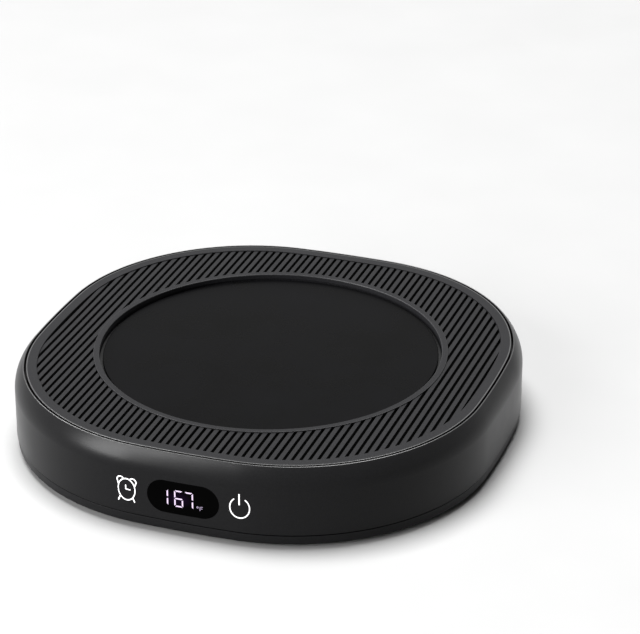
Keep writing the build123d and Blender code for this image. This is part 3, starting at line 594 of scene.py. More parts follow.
# The lens's seat, and the narrower hole through the rest of the wall
for shrink, depth in ((0, LENS_SEAT), (LENS_LEDGE, WALL + 2 * OVERCUT)):
    cut = bmesh.new()
    window_bar(cut, shrink, -HALF_WIDTH - 2 * OVERCUT)
    thicken(cut, 2 * OVERCUT + depth)
    carve(housing, cut)

PORT_RADIUS = 4.25
PORT_START = 5.0
pin_low, pin_high = corners("inlet_pin")
cut = bmesh.new()
turned(cut, disc(PORT_RADIUS, 0, PORT_START + 3 * OVERCUT), 64)
lay_back(cut, (0, HALF_WIDTH - PORT_START, (pin_low.z + pin_high.z) / 2))
carve(housing, cut)
finish_piece(housing, "casing", housing_abs, "shell_plastic", "housing", "housing_rear")
# The rim's eased edge takes a painted highlight
refinish(housing, painted_rim_highlight, lambda at, normal: at.z > TOP - RIM_EASE)
# Painted shade on the housing's inner wall in the shadow gap
refinish(
    housing, groove_painted_shade,
    lambda at, normal: deck_bottom < at.z < TOP - RIM_EASE and normal.xy.dot(at.xy) < -1,
)

# %% [markdown]
# ## Deck
# The top panel is flat and drops into the housing with an even shadow gap. Between its
# smooth border and the collar round the well it is ribbed from front to rear. The flat field
# is filled first, planes slice it at every groove wall, and the strips that lie in a groove
# are pushed down. So the ribs follow both curved outlines exactly.

# %% Deck outlines
BORDER_WIDTH = 2.9
FIELD_DEPTH = 0.25
DECK_EDGE = 0.06
# Width of the flat band along the deck's edge that takes the painted highlight
HIGHLIGHT_BAND_WIDTH = 0.26
COLLAR_WIDTH = 1.7
PLATE_GAP = 0.9
WELL_EDGE = 0.3
COLLAR_STEP = 0.3
COLLAR_DEPTH = 4.2
SKIRT_CLEARANCE = 0.3
SKIRT_THICKNESS = 1.5
SKIRT_DEPTH = 2.1

plate_radius = plate_high.x
well_radius = plate_radius + PLATE_GAP
collar_radius = well_radius + COLLAR_WIDTH
plate_top = plate_high.z
field_inset = deck_inset + BORDER_WIDTH
land_top = TOP - FIELD_DEPTH
skirt_outer = ledge_inset + SKIRT_CLEARANCE
skirt_inner = skirt_outer + SKIRT_THICKNESS
skirt_low = deck_bottom - SKIRT_DEPTH

highlight_band_inset = deck_inset + DECK_EDGE + HIGHLIGHT_BAND_WIDTH
border_section = [(field_inset, land_top), (field_inset, TOP), (highlight_band_inset, TOP)]
border_section += arc((deck_inset + DECK_EDGE, TOP - DECK_EDGE), DECK_EDGE, 90, 180, 4)
border_section += stair(deck_inset, deck_bottom, skirt_outer, skirt_low, skirt_inner, deck_bottom)

collar_low = TOP - COLLAR_DEPTH
collar_inner = well_radius + COLLAR_STEP
collar_section = [(collar_radius, land_top), (collar_radius, TOP)]
collar_section += arc((well_radius + WELL_EDGE, TOP - WELL_EDGE), WELL_EDGE, 90, 180, 4)
collar_section += stair(well_radius, plate_top, collar_inner, collar_low, collar_radius)
collar_section += [(collar_radius, deck_bottom)]

# %% Join border, field and collar


def fill_level(bm, height):
    """Fills the flat gap between the open rows at one height."""
    rows = [
        edge for edge in bm.edges
        if edge.is_boundary and all(level_with(v.co, height) for v in edge.verts)
    ]
    filled = bmesh.ops.triangle_fill(bm, use_beauty=True, use_dissolve=False, edges=rows, normal=UP)
    return [part for part in filled["geom"] if isinstance(part, bmesh.types.BMFace)]


bm = bmesh.new()
sweep(bm, border_section, closed=False)
turned(bm, collar_section, PLAN_STEPS)
field = fill_level(bm, land_top)
fill_level(bm, deck_bottom)
print("field area in mm2", round(sum(face.calc_area() for face in field), 1))

# %% Slice and sink the grooves
GROOVE_PITCH = 2.09
GROOVE_WIDTH = 0.88
GROOVE_DEPTH = 1.2
groove_count = int((HALF_WIDTH - field_inset) / GROOVE_PITCH)


def in_field(face):
    """Whether a face lies flat in the ribbed field."""
    return all(level_with(v.co, land_top) for v in face.verts) and abs(face.normal.z) > 0.9


def in_groove(face):
    """Whether a face of the field lies between two groove walls."""
    x = face.calc_center_median().x
    return in_field(face) and abs(x - round(x / GROOVE_PITCH) * GROOVE_PITCH) < GROOVE_WIDTH / 2


def slice_at(bm, x, faces):
    """Slices faces with an upright plane at this x."""
    geom = list({part for face in faces for part in (face, *face.edges, *face.verts)})
    bmesh.ops.bisect_plane(bm, geom=geom, dist=1e-5, plane_co=(x, 0, 0), plane_no=(1, 0, 0))


bm.normal_update()
for n in range(-groove_count, groove_count + 1):
    for side in (-GROOVE_WIDTH / 2, GROOVE_WIDTH / 2):
        slice_at(bm, n * GROOVE_PITCH + side, filter(in_field, bm.faces))

bm.normal_update()
grooves = list(filter(in_groove, bm.faces))
sunk_verts = only_verts(bmesh.ops.extrude_face_region(bm, geom=grooves)["geom"])
bmesh.ops.delete(bm, geom=[face for face in grooves if face.is_valid], context="FACES")
bmesh.ops.translate(bm, verts=sunk_verts, vec=(0, 0, -GROOVE_DEPTH))
# The sunk faces take the second material, painted shade
for vert in sunk_verts:
    for face in vert.link_faces:
        face.material_index = 1
flat_edges = list({edge for face in filter(in_field, bm.faces) for edge in face.edges})
bmesh.ops.dissolve_limit(bm, angle_limit=radians(0.5), verts=[], edges=flat_edges)
print("grooves", 2 * groove_count + 1, "in", len(grooves), "strips")

# %% Soften the ribs and place the deck
RIB_EASE = 0.1
ease(bm, RIB_EASE, limit=60, where=lambda at: level_with(at, land_top), segments=1)
ease(bm, RIM_EASE, limit=60, where=lambda at: level_with(at, TOP))
POST_RADIUS = 3.4
SCREW_INSET = 12.35
SCREW_TURN = radians(65)
SCREW_HOLE = 1.47
SCREW_LENGTH = 11.0
post_low = deck_low.z
hole_top = post_low + SCREW_LENGTH
post_section = stair(0, hole_top, SCREW_HOLE, post_low, POST_RADIUS, deck_bottom, 0)
screw_places = corner_places(SCREW_INSET, SCREW_TURN)
turned(bm, post_section, 32, screw_places)
deck = piece(bm, "ribbed_deck", "casing", deck_nylon_with_painted_shade, "deck_plastic", "top_deck")
# The second material is painted shade for the grooves
deck.data.materials.append(groove_painted_shade)


def on_highlit_deck_edge(at, normal):
    """Whether a face lies along the deck's outer edge."""
    return at.z > TOP - DECK_EDGE and normal.z > 0.05 and inset_of(at) < highlight_band_inset


def in_gap(at, normal):
    """Whether a face is the deck's outer side in the shadow gap, or a step beside the field."""
    if abs(normal.z) > 0.3 or not deck_bottom < at.z < TOP - DECK_EDGE:
        return False
    return inset_of(at) < deck_inset + 0.01 or at.z > land_top


def on_highlit_rib_edge(at, normal):
    """Whether a face is the rounded edge of a rib or of the collar."""
    if not 0.05 < normal.z < 0.98:
        return False
    if at.z > TOP - WELL_EDGE and at.xy.length < collar_radius + 0.01:
        return True
    return land_top - RIB_EASE < at.z < land_top


# Painted highlight on the deck's outer edge
refinish(deck, painted_deck_edge_highlight, on_highlit_deck_edge)
# Painted shade on the deck's side in the gap and on the steps beside the field
refinish(deck, groove_painted_shade, in_gap)
# Painted highlight on the rounded edges of the ribs and the collar
refinish(deck, painted_rib_edge_highlight, on_highlit_rib_edge)

# %% [markdown]
# ## Heating plate
# A thick round plate with a small edge radius. It sinks under the mug, so it rides on the
# moving body.

# %% Plate and seal
PLATE_EDGE = 0.25
SEAL_SEAT_INSET = 1.2
seal_seat = plate_radius - SEAL_SEAT_INSET
plate_bottom = seal_low.z
edge_middle = (plate_radius - PLATE_EDGE, plate_top - PLATE_EDGE)
plate_section = [(0, plate_top), *arc(edge_middle, PLATE_EDGE, 90, 0, 4)]
plate_section += stair(plate_radius, seal_high.z, seal_seat, plate_bottom, 0)
bm = bmesh.new()
turned(bm, plate_section, PLAN_STEPS)
STUD_RING = 30.0
STUD_TURNS = (90, 210, 330)
STUD_RADIUS = 2.2
STUD_HOLE = 1.27
STUD_HOLE_DEPTH = 1.8
stud_low = plate_low.z
stud_end = stud_low + STUD_HOLE_DEPTH
stud_section = stair(0, stud_end, STUD_HOLE, stud_low, STUD_RADIUS, plate_bottom, 0)
turned(bm, stud_section, 32, polar(STUD_RING, STUD_TURNS))
piece(bm, "coated_plate", "plate", plate_coating, "plate_coating", "heating_plate")

SEAL_EDGE = 0.3
seal_outer = seal_high.x
bm = bmesh.new()
seal_section = [(seal_seat, plate_bottom)]
seal_section += arc((seal_outer - SEAL_EDGE, plate_bottom + SEAL_EDGE), SEAL_EDGE, -90, 0, 3)
seal_section += [(seal_outer, seal_high.z), (seal_seat, seal_high.z)]
turned(bm, seal_section, PLAN_STEPS, closed=True)
piece(bm, "silicone_ring", "plate", seal_silicone, "seal_silicone", "plate_seal")

# %% [markdown]
# ## Base
# The tray that closes the body from below shows as a thin rim under a dark seam. Underneath
# it has slots for air, recesses for screws, pockets for the feet and a shallow blank field.

# %% Base section
BASE_EDGE_RADIUS = 1.0
SEAM_DEPTH = 0.85
SEAM_GAP = 0.4
LIP_THICKNESS = 1.5
LIP_CLEARANCE = 0.3
FLOOR = 2.1
LIP_HEIGHT = 3.0
base_inset = HALF_WIDTH - base_high.y
base_bottom = base_low.z
rim_top = WALL_BOTTOM - SEAM_GAP
floor_top = base_bottom + FLOOR
lip_top = floor_top + LIP_HEIGHT
lip_inset = WALL + LIP_CLEARANCE

lip_inner = lip_inset + LIP_THICKNESS
seam_inset = base_inset + SEAM_DEPTH
edge_middle = (base_inset + BASE_EDGE_RADIUS, base_bottom + BASE_EDGE_RADIUS)
tray_section = arc(edge_middle, BASE_EDGE_RADIUS, 270, 180, 6)
tray_section += stair(base_inset, rim_top, seam_inset, WALL_BOTTOM, lip_inset, lip_top)
tray_section += [(lip_inner, lip_top), (lip_inner, floor_top)]

bm = bmesh.new()
sweep(bm, tray_section, closed=False)
for height in (base_bottom, floor_top):
    fill_level(bm, height)
ease(bm, SEAM_EASE, where=lambda at: level_with(at, rim_top))
bmesh.ops.recalc_face_normals(bm, faces=bm.faces)
tray = to_object(bm, "base_tray")

# %% [markdown]
# The tray also carries everything inside: guide posts for the plate's carrier, bosses for
# the board and the casing screws, and two grooved posts that hold the display board. They
# sink a little into the floor, so that the joint is clean.

# %% Bosses and posts
POST_RING = 43.5
POST_TURNS = (30, 150, 270)
GUIDE_RADIUS = 2.5
GUIDE_FOOT = 4.6
STOP_HOLE = 1.27
STOP_LENGTH = 6.0
SCREW_BOSS = 2.0
BOARD_BOSS = 2.8
BOARD_HOLE = 1.0
BOARD_BOSS_X = 26.0
BOARD_BOSS_ROWS = (-30.0, 26.0)
SLOT_POST = Vector((5.0, 4.4, 10.0))
SLOT_CLEARANCE = 0.1
SUNK = 0.4
board_low, board_high = corners("main_board")
spring_low, spring_high = corners("return_springs")
panel_low, panel_high = corners("display_board")
ear_top = corners("stop_washers")[0].z
root = floor_top - SUNK
boss_top = floor_top + SCREW_BOSS
spring_seat = spring_low.z
stop_end = ear_top - STOP_LENGTH


def brick(bm, low, high):
    """Box between two corners."""
    middle, size = (Vector(low) + Vector(high)) / 2, Vector(high) - Vector(low)
    place = Matrix.Translation(middle) @ Matrix.Diagonal((*size, 1))
    bmesh.ops.create_cube(bm, size=1, matrix=place)


bm = bmesh.new()
guide = stair(0, root, GUIDE_FOOT, spring_seat, GUIDE_RADIUS, ear_top, STOP_HOLE, stop_end, 0)
turned(bm, guide, 40, polar(POST_RING, POST_TURNS))
boss = stair(0, root, BOARD_BOSS, board_low.z, BOARD_HOLE, floor_top, 0)
turned(bm, boss, 32, [(x, y) for y in BOARD_BOSS_ROWS for x in (-BOARD_BOSS_X, BOARD_BOSS_X)])
turned(bm, disc(POST_RADIUS, root, boss_top), 40, screw_places)
panel_y = (panel_low.y + panel_high.y) / 2
for x in (panel_low.x, panel_high.x):
    middle = Vector((x, panel_y, floor_top + SLOT_POST.z / 2))
    brick(bm, middle - SLOT_POST / 2 - UP * SUNK, middle + SLOT_POST / 2)
carve(tray, bm, "UNION")

room = Vector((SLOT_CLEARANCE, SLOT_CLEARANCE, 0))
cut = bmesh.new()
brick(cut, panel_low - room, (*(panel_high + room).xy, floor_top + SLOT_POST.z + OVERCUT))
carve(tray, cut)
clear = panel_high.x + SLOT_POST.x
notch_high = (clear, panel_low.y - SLOT_POST.y, lip_top + OVERCUT)
cut = bmesh.new()
brick(cut, (-clear, -HALF_WIDTH, WALL_BOTTOM), notch_high)
carve(tray, cut)

# %% Cut the underside
VENT_WIDTH = 1.6
VENT_LENGTH = 20.0
VENT_PITCH = 3.6
VENT_COUNT = 6
VENT_OFFSET = 27.0
LABEL_LENGTH = 30.0
LABEL_WIDTH = 22.0
LABEL_DEPTH = 0.3
LABEL_ROUND = 2.0
FOOT_INSET = 12.35
FOOT_RADIUS = 6.0
FOOT_CLEARANCE = 0.1
FOOT_POCKET = 0.8
SCREW_HEAD = 1.8
SCREW_RECESS = 0.6
HEAD_ROOM = 3.2
SHANK_ROOM = 1.6

cut = bmesh.new()
half_run = (VENT_LENGTH - VENT_WIDTH) / 2
for side in (-1, 1):
    for n in range(VENT_COUNT):
        x = side * VENT_OFFSET + (n - (VENT_COUNT - 1) / 2) * VENT_PITCH
        bar(cut, (x, 0, -half_run), (x, 0, half_run), VENT_WIDTH)
thicken(cut, FLOOR + 2 * OVERCUT)
lay_back(cut, (0, 0, floor_top + OVERCUT))
carve(tray, cut)

below = base_bottom - OVERCUT
above = boss_top + OVERCUT
seat = base_bottom + SCREW_RECESS + SCREW_HEAD
pocket = disc(FOOT_RADIUS + FOOT_CLEARANCE, below, base_bottom + FOOT_POCKET)
recess = stair(0, below, HEAD_ROOM, seat, SHANK_ROOM, above, 0)
cut = bmesh.new()
foot_places = corner_places(FOOT_INSET, pi / 4)
turned(cut, pocket, 64, foot_places)
turned(cut, recess, 48, screw_places)
carve(tray, cut)

cut = bmesh.new()
label = Vector((LABEL_LENGTH, LABEL_WIDTH, 2 * LABEL_DEPTH)) / 2
brick(cut, UP * base_bottom - label, UP * base_bottom + label)
upright = [edge for edge in cut.edges if not level_with(edge.verts[0].co, edge.verts[1].co.z)]
bevelled(cut, upright, LABEL_ROUND, 6)
carve(tray, cut)
finish_piece(tray, "casing", base_abs, "base_plastic", "base_pan")

# %% [markdown]
# The feet are rubber discs pressed into their pockets. Each is turned with a shallow dimple
# in its sole, as moulded feet have.

# %% Feet
FOOT_EDGE = 0.4
DIMPLE_RADIUS = 2.6
DIMPLE_SLOPE = 0.4
DIMPLE_DEPTH = 0.25
sole = foot_low.z
dimple = sole + DIMPLE_DEPTH
foot_section = [(0, dimple), (DIMPLE_RADIUS - DIMPLE_SLOPE, dimple), (DIMPLE_RADIUS, sole)]
foot_section += arc((FOOT_RADIUS - FOOT_EDGE, sole + FOOT_EDGE), FOOT_EDGE, -90, 0, 4)
foot_section += [(FOOT_RADIUS, foot_high.z), (0, foot_high.z)]
bm = bmesh.new()
turned(bm, foot_section, 64, foot_places)
piece(bm, "rubber_soles", "casing", foot_rubber, "foot_rubber", "rubber_feet")

# %% [markdown]
# ## Display
# The lens is a thin slice of smoked acrylic, a hair below the wall's surface. A flat
# slot-shaped bar is sliced into narrow strips and every vertex is then moved back to the
# wall's own curve, so the lens bends exactly as the wall does.

# %% Bend flat artwork to the wall


def slice_upright(bm, step=0.7):
    """Slices flat artwork with upright planes, so that it can bend."""
    low = min(v.co.x for v in bm.verts)
    high = max(v.co.x for v in bm.verts)
    for n in range(1, ceil((high - low) / step)):
        slice_at(bm, low + n * step, bm.faces)


def bend_to_wall(bm, proud):
    """Moves artwork from the front plane onto the wall, standing proud of it."""
    for vert in bm.verts:
        vert.co.y -= plan_y(vert.co.x, -proud)


# %% Lens
LENS_RECESS = 0.04
# Places less than this below the lens's front count as its surface
SURFACE = 0.02
LENS_THICKNESS = 0.9
LENS_EDGE = 0.1
bm = bmesh.new()
window_bar(bm, LENS_CLEARANCE, 0)
slice_upright(bm)
thicken(bm, LENS_THICKNESS)
bend_to_wall(bm, -LENS_RECESS)
ease(bm, LENS_EDGE, limit=60, where=lambda at: at.y < -plan_y(at.x, LENS_RECESS + SURFACE))
piece(bm, "smoked_lens", "casing", lens_acrylic, "smoked_lens", "display_window")

# %% [markdown]
# ## Marks and digits
# The marks are strokes of even width with round ends: a straight stroke is a bar and a
# curved one is a short edge spun round a centre. Each drawing is made flat, given the
# thickness of a coat of ink and bent to the wall.

# %% Strokes
INK = 0.03
PROUD = 0.03


def curved(bm, centre, radius, start, end, width, rounds=4, steps=24, squeeze=1.0):
    """Stroke along an arc in the front plane; angles in degrees from right towards up."""
    middle = Vector((centre[0], 0, centre[1]))
    turn = Matrix.Rotation(radians(start), 3, FRONT)
    ends = [middle + turn @ Vector((radius + side * width / 2, 0, 0)) for side in (1, -1)]
    before = set(bm.verts)
    edge = chain(bm, ends, False)
    full = abs(end - start) > 359
    spun = bmesh.ops.spin(
        bm, geom=edge, cent=middle, axis=FRONT, angle=radians(end - start), steps=steps,
        use_merge=full,
    )
    if not full:
        round_tips(bm, edge[:2] + only_verts(spun["geom_last"]), width, rounds)
    for vert in set(bm.verts) - before:
        vert.co.x = centre[0] + (vert.co.x - centre[0]) * squeeze


def straight(bm, start, end, width, rounds=4):
    """Stroke between two places given as (x, z)."""
    bar(bm, (start[0], 0, start[1]), (end[0], 0, end[1]), width, rounds)


def artwork(bm, name, material, slot, proud=PROUD):
    """Finished drawing on the front wall."""
    slice_upright(bm)
    thicken(bm, INK)
    bend_to_wall(bm, proud)
    return piece(bm, name, "casing", material, slot)


# %% Timer mark
STROKE = 0.36
HAND = 0.3
FACE_HEIGHT = 3.14
FACE_SQUEEZE = 0.772
BELL_RADIUS = 0.98
clock_x, clock_z = -15.27, TOP - 11.9
# Middle of each bell's arc, and the angles where it starts and ends
BELLS = ((-1.69, 2.54, 25, 200), (1.81, 2.42, 150, -20))
# Both ends of each straight stroke and its width: the bells' sides, the legs and the hands
CLOCK_STROKES = (
    ((-2.67, 2.42), (-2.3, 1.15), STROKE), ((2.79, 2.32), (2.3, 1.15), STROKE),
    ((-1.8, -2.1), (-2.52, -3.68), STROKE), ((1.65, -2.1), (2.26, -3.55), STROKE),
    ((-0.23, 1.36), (-0.23, -0.1), HAND), ((-0.38, 0.08), (1.17, 0), HAND),
)
bm = bmesh.new()
curved(bm, (clock_x, clock_z), FACE_HEIGHT, 0, 360, STROKE, steps=64, squeeze=FACE_SQUEEZE)
for x, z, start, end in BELLS:
    curved(bm, (clock_x + x, clock_z + z), BELL_RADIUS, start, end, STROKE)
for *ends, width in CLOCK_STROKES:
    straight(bm, *[(clock_x + x, clock_z + z) for x, z in ends], width)
artwork(bm, "timer_mark", ink_with_painted_glow, "smoked_lens")

# %% Power mark
power_x, power_z = 16.1, TOP - 11.54
RING_HEIGHT = 2.97
RING_SQUEEZE = 0.886
GAP_TURN = 32
BAR_X = power_x - 0.1
BAR_ENDS = (TOP - 7.44, TOP - 10.74)
ring = (90 + GAP_TURN, 450 - GAP_TURN)
bm = bmesh.new()
curved(bm, (power_x, power_z), RING_HEIGHT, *ring, STROKE, steps=48, squeeze=RING_SQUEEZE)
straight(bm, *[(BAR_X, z) for z in BAR_ENDS], STROKE)
artwork(bm, "power_mark", ink_with_painted_glow, "smoked_lens")

# %% [markdown]
# Where two segments of a figure meet at a corner both are mitred, so the outer edge of each
# is longer than its inner edge, and the middle segment is pointed at both ends. A segment
# starts as a plain strip whose inner corners are drawn in.

# %% Segments
LED_WIDTH = 0.38
SEGMENT_GAP = 0.24
# How far an inner corner is drawn in, in widths: at a corner, and beside the middle segment
MITRE = 0.9
HALF_MITRE = 0.45


def segment(bm, ends, inwards, end_mitre):
    """Bar between two places (x, z), whose inner corners are drawn in as mitres."""
    start, end = [Vector((x, 0, z)) for x, z in ends]
    along = (end - start).normalized() * LED_WIDTH
    side = inwards * LED_WIDTH / 2
    corners_at = strip(bm, start, end, -side)
    inner_end = max(corners_at[2:], key=lambda vert: vert.co.dot(side))
    bmesh.ops.translate(bm, verts=[corners_at[1]], vec=along * MITRE)
    bmesh.ops.translate(bm, verts=[inner_end], vec=-along * end_mitre)


# %% Digits
SEGMENTS = {"1": "bc", "6": "acdefg", "7": "abc"}
DIGIT_HEIGHT = 4.84
DIGIT_WIDTH = 2.46
digit_low = TOP - 14.24


def digit(bm, figure, left):
    """Seven-segment figure whose box starts at left."""
    half, gap = LED_WIDTH / 2, SEGMENT_GAP
    right, high = left + DIGIT_WIDTH, digit_low + DIGIT_HEIGHT
    west, east = left + half, right - half
    south, middle, north = digit_low + half, (digit_low + high) / 2, high - half
    upper, lower = (high - gap, middle + gap), (digit_low + gap, middle - gap)
    across = (left + gap, right - gap)
    east_in, west_in = Vector((-1, 0, 0)), Vector((1, 0, 0))
    places = {
        "a": ([(x, north) for x in across], -UP, MITRE),
        "d": ([(x, south) for x in across], UP, MITRE),
        "b": ([(east, z) for z in upper], east_in, HALF_MITRE),
        "c": ([(east, z) for z in lower], east_in, HALF_MITRE),
        "f": ([(west, z) for z in upper], west_in, HALF_MITRE),
        "e": ([(west, z) for z in lower], west_in, HALF_MITRE),
    }
    for name in SEGMENTS[figure]:
        if name == "g":
            straight(bm, (west, middle), (east, middle), LED_WIDTH, 1)
        else:
            segment(bm, *places[name])


PLACES = (("1", -3.48 - DIGIT_WIDTH), ("6", -1.78), ("7", 1.0))
bm = bmesh.new()
for figure, left in PLACES:
    digit(bm, figure, left)
artwork(bm, "display_figures", segment_light, "digit_plastic", proud=0.0)

# %% Unit
UNIT_STROKE = 0.18
DEGREE = (4.65, TOP - 13.34)
DEGREE_SIZE = 0.2
UNIT_X = 5.32
UNIT_TOP = TOP - 13.12
# Both ends of the letter's strokes, from the top of its stem
UNIT_STROKES = (((0, -1.17), (0, 0.09)), ((0.14, 0), (0.8, 0)), ((0.14, -0.5), (0.7, -0.5)))
bm = bmesh.new()
curved(bm, DEGREE, DEGREE_SIZE, 0, 360, DEGREE_SIZE, steps=16)
for ends in UNIT_STROKES:
    straight(bm, *[(UNIT_X + x, UNIT_TOP + z) for x, z in ends], UNIT_STROKE, 1)
artwork(bm, "unit_figures", unit_light, "digit_plastic", proud=0.0)

# %% [markdown]
# ## Hidden springs and leads
# Springs and leads join the moving plate to the fixed base. A coil is a small circle spun
# round the axis while it climbs.

# %% Metal finishes
HANDLING_MM = 6.0
LINE_DEPTH_MM = 0.003
DRAWN_OUT = (1, 1, 0.08)


def metal(name, code, gloss, lines_mm):
    """Bare metal with fine drawing lines and soft variation in its gloss."""
    material, tree, shader, place = new_material(name)
    cloud = add(tree, "ShaderNodeTexNoise", lumps(place, HANDLING_MM, 3.0))["Fac"]
    drawn = add(tree, "ShaderNodeMapping", {"Vector": place, "Scale": DRAWN_OUT})["Vector"]
    lines = add(tree, "ShaderNodeTexNoise", lumps(drawn, lines_mm))["Fac"]
    bump = {"Height": lines, "Distance": LINE_DEPTH_MM * MM}
    feed(tree, shader, {
        "Base Color": srgb(code),
        "Metallic": 1.0,
        "Roughness": add(tree, "ShaderNodeMapRange", between(cloud, *gloss))["Result"],
        "Normal": add(tree, "ShaderNodeBump", bump)["Normal"],
    })
    return material


spring_wire = metal("drawn_spring_wire", "b4b4b8", (0.25, 0.38), 0.12)
lead_silicone = moulded("red_silicone_jacket", "8c1a12", "a32418", (0.45, 0.6), 0.5, 0.004)
lead_vinyl = moulded("white_vinyl_jacket", "cfcfca", "dcdcd8", (0.4, 0.5), 0.5, 0.004)

# %% Springs
SPRING_RADIUS = 3.25
SPRING_WIRE = 0.3
SPRING_TURNS = 5
COIL_STEPS = 24
spring_length = spring_high.z - spring_low.z
climb = (spring_length - 2 * SPRING_WIRE) / (SPRING_TURNS * COIL_STEPS)
for side, (x, y) in zip(("right", "left", "front"), polar(POST_RING, POST_TURNS)):
    bm = bmesh.new()
    place = Matrix.Translation((x + SPRING_RADIUS, y, spring_low.z + SPRING_WIRE))
    upright = place @ Matrix.Rotation(pi / 2, 4, "X")
    bmesh.ops.create_circle(bm, cap_ends=True, radius=SPRING_WIRE, segments=8, matrix=upright)
    ring = bm.verts[:] + bm.edges[:] + bm.faces[:]
    bmesh.ops.spin(
        bm, geom=ring, cent=(x, y, 0), axis=UP, dvec=(0, 0, climb),
        angle=2 * pi * SPRING_TURNS, steps=SPRING_TURNS * COIL_STEPS,
    )
    name = "return_spring_" + side
    spring = piece(bm, name, "casing", spring_wire, "spring_steel", "return_springs")
    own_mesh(spring)

# %% Leads


def lead(name, points, radius, material, slot, node):
    """Round lead along a smooth route."""
    curve = bpy.data.curves.new(name, "CURVE")
    curve.dimensions = "3D"
    curve.bevel_depth = radius * MM
    curve.bevel_resolution = 3
    curve.use_fill_caps = True
    spline = curve.splines.new("NURBS")
    spline.points.add(len(points) - 1)
    for at, point in zip(spline.points, points):
        at.co = (*(Vector(point) * MM), 1)
    spline.order_u = 3
    spline.use_endpoint_u = True
    spline.resolution_u = 16
    holder = new_object(name, curve)
    bm = bmesh.new()
    bm.from_mesh(baked_mesh(holder))
    bpy.data.objects.remove(holder)
    bmesh.ops.scale(bm, vec=(1 / MM,) * 3, verts=bm.verts)
    tube = piece(bm, name, "casing", material, slot, node)
    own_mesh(tube)


film = corners("heater_film")[0].z
can = corners("thermistor")[0].z
tag = corners("thermal_cutout")[0].z + 0.8
# A heater lead runs straight through its hole in the carrier before it bends
under = carrier_low.z - 1.5
heater_end, sensor_end, cutout_end = (board_high.z + rise for rise in (2.2, 1.8, 2.0))
# Columns: name, radius, jacket, slot, rows as y, route as (x, z) down to the fixed end
LEADS = (
    ("heater_lead", 0.7, lead_silicone, "lead_jacket", (15.0, 17.6),
     ((9.0, film), (9.0, under), (9.0, heater_end), (20.0, heater_end))),
    ("sensor_lead", 0.5, lead_vinyl, "sensor_jacket", (-1.0, 1.0),
     ((0, can), (0, sensor_end), (-11.0, sensor_end))),
    ("cutout_lead", 0.45, lead_vinyl, "sensor_jacket", (-17.5, -14.5),
     ((8.0, tag), (17.4, tag), (17.4, cutout_end))),
)
for name, radius, jacket, slot, rows, route in LEADS:
    for n, y in enumerate(rows):
        points = [(x, y, z) for x, z in route]
        lead(f"{name}_{n}", points, radius, jacket, slot, name + "s")

# %% [markdown]
# ## Finishes of the inner pieces
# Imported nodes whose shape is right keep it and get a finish. Zinc plate looks cool and
# streaky, drawn aluminium brighter, tinned brass warmer. Solder mask is a glassy green,
# moulding compound and filled nylon are dull blacks and natural nylon a waxy cream.
# Polyimide film shines amber, mica is flaky and brown, ceramic felt dry and pale.

# %% Inner finishes
# Columns: name, colour, lowest and highest roughness, drawing lines in mm, nodes
METALS = (
    ("zinc_plated_steel", "a9adb0", (0.28, 0.42), 0.2,
     "casing_screws pressure_plate plate_screws stop_screws stop_washers board_screws"),
    ("drawn_aluminium", "c3c5c8", (0.22, 0.34), 0.15, "capacitors"),
    ("tinned_brass", "c9bd96", (0.2, 0.32), 0.15, "inlet_pin"),
)
# Columns: name, two colours, lowest and highest roughness, grain and relief in mm, nodes
NON_METALS = (
    ("green_solder_mask", "0d4020", "125229", (0.28, 0.4), 1.2, 0.004, "main_board display_board"),
    ("black_glass_filled_nylon", "202021", "2c2c2d", (0.5, 0.62), 0.4, 0.01,
     "plate_carrier weight_switch"),
    ("black_moulding_compound", "121212", "1a1a1a", (0.5, 0.65), 0.3, 0.006,
     "control_chip heater_transistor inductor buzzer digit_module"),
    ("black_socket_nylon", "0c0c0c", "131313", (0.3, 0.4), 0.5, 0.003, "inlet_jack"),
    ("natural_nylon", "cfc8b4", "dcd6c5", (0.35, 0.45), 0.6, 0.004, "lead_sockets board_headers"),
    ("amber_polyimide_film", "9a5a12", "b87018", (0.15, 0.25), 2.0, 0.004, "heater_film"),
    ("pressed_mica", "8c7a58", "a8977a", (0.3, 0.5), 1.5, 0.03, "mica_sheet"),
    ("ceramic_fibre_felt", "b8b4a8", "d2cec2", (0.85, 0.95), 0.6, 0.15, "fibre_pad"),
    ("white_ceramic_case", "c8c6be", "d8d6cf", (0.35, 0.5), 0.6, 0.005, "thermal_cutout"),
    ("brown_sensor_epoxy", "4a1c10", "5c2818", (0.2, 0.3), 1.0, 0.01, "thermistor"),
    ("red_acetal", "8e1410", "a01a14", (0.3, 0.4), 0.6, 0.003, "switch_plunger"),
    ("grey_ribbon_vinyl", "85888c", "989b9e", (0.4, 0.5), 0.6, 0.004, "flat_cable"),
)
finishes = [(metal(*row), names) for *row, names in METALS]
finishes += [(moulded(*row), names) for *row, names in NON_METALS]
finishes += [(spring_wire, "touch_springs")]
for finish, names in finishes:
    for name in names.split():
        for material_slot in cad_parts[name].material_slots:
            material_slot.material = finish
    print(finish.name, "on", names)

# %% [markdown]
# ## Floor, light and camera
# The warmer stands on a plain pale floor before a white background. A tall soft light at the
# front left draws the long highlight on the shoulder, a small one at the upper left lights
# its rear, and one overhead brings out the ribs. They are kept off the floor, which has a
# high wash of its own that makes it white and a low fill that softens the contact shadow.

# %% Floor
FLOOR_REACH = 3000
PULP_MM = 40.0
bm = bmesh.new()
bmesh.ops.create_grid(bm, x_segments=1, y_segments=1, size=FLOOR_REACH)
floor = to_object(bm, "floor")
paper, tree, shader, place = new_material("white_paper")
pulp = add(tree, "ShaderNodeTexNoise", lumps(place, PULP_MM))["Fac"]
tone = add(tree, "ShaderNodeValToRGB", {"Fac": pulp}, ("a8a8a8", "aaaaaa"))["Color"]
feed(tree, shader, {"Base Color": tone, "Roughness": 0.9, "Specular IOR Level": 0.0})
floor.data.materials.append(paper)

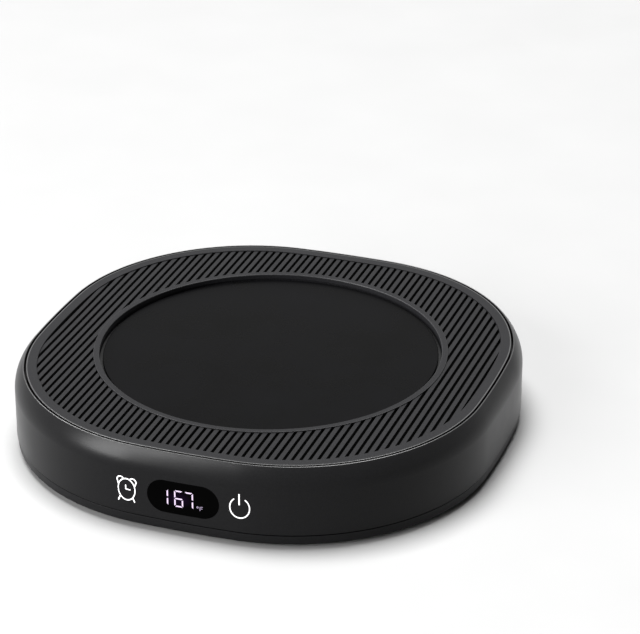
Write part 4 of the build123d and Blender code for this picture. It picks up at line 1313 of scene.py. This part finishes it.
# %% World
WORLD_LIGHT = 0.06
WHITE = (1.0, 1.0, 1.0, 1.0)
world = bpy.data.worlds.new("studio")
bpy.context.scene.world = world
world.use_nodes = True
tree = world.node_tree
fill = tree.nodes["Background"]
feed(tree, fill, {"Color": WHITE, "Strength": WORLD_LIGHT})
seen = add(tree, "ShaderNodeBackground", {"Color": WHITE, "Strength": 1.0})[0]
rays = add(tree, "ShaderNodeLightPath", {})
shown = rays["Is Camera Ray"]
for ray in ("Is Glossy Ray", "Is Transmission Ray"):
    shown = add(tree, "ShaderNodeMath", {0: shown, 1: rays[ray]}, operation="MAXIMUM")[0]
choice = add(tree, "ShaderNodeMixShader", {0: shown, 1: fill.outputs[0], 2: seen})[0]
feed(tree, tree.nodes["World Output"], {"Surface": choice})
print("world light", WORLD_LIGHT)

# %% Lights


def softbox(name, at, aim, width, height, power, state):
    """Rectangular light in metres that lights only the floor, or all but the floor."""
    light = bpy.data.lights.new(name, "AREA")
    light.shape = "RECTANGLE"
    light.size = width
    light.size_y = height
    light.energy = power
    obj = new_object(name, light)
    obj.location = at
    obj.rotation_euler = (Vector(aim) - Vector(at)).to_track_quat("-Z", "Y").to_euler()
    reach = bpy.data.collections.new(name + "_reach")
    reach.objects.link(floor)
    reach.collection_objects[0].light_linking.link_state = state
    obj.light_linking.receiver_collection = reach
    print(name, power, "W,", state.lower(), "floor")


BODY = (0, 0, 0.015)
GROUND = (0, 0, 0)
# Columns: name, place, what it faces, width and height in metres, power, how it treats the floor
LIGHTS = (
    ("front_left_key", (-0.584, -0.672, 0.47), BODY, 0.46, 0.88, 27.0, "EXCLUDE"),
    ("left_top", (-0.66, 0.24, 0.72), BODY, 0.30, 0.30, 7.0, "EXCLUDE"),
    ("overhead", (0.1, 0.4, 1.2), BODY, 0.7, 0.7, 20.0, "EXCLUDE"),
    ("floor_wash", (-0.3, 0.25, 2.47), GROUND, 1.4, 1.4, 143.0, "INCLUDE"),
    ("floor_fill", (-0.4, -0.8, 0.40), GROUND, 0.8, 0.6, 11.0, "INCLUDE"),
)
for row in LIGHTS:
    softbox(*row)

# %% Camera
SENSOR_MM = 36.0
LENS_MM = 155.0
PITCH = 26.170
HEADING = 19.381
# Metres from the middle of the deck
CAMERA_PLACE = (0.23861, -0.63731, 0.34370)
camera_data = bpy.data.cameras.new("camera")
camera_data.sensor_width = SENSOR_MM
camera_data.lens = LENS_MM
camera = new_object("camera", camera_data)
camera.location = Vector(CAMERA_PLACE) + UP * TOP * MM
camera.rotation_euler = (radians(90 - PITCH), 0, radians(HEADING))
bpy.context.scene.camera = camera
bpy.context.scene.view_settings.view_transform = "Standard"
print("camera", [round(at, 3) for at in camera.location])
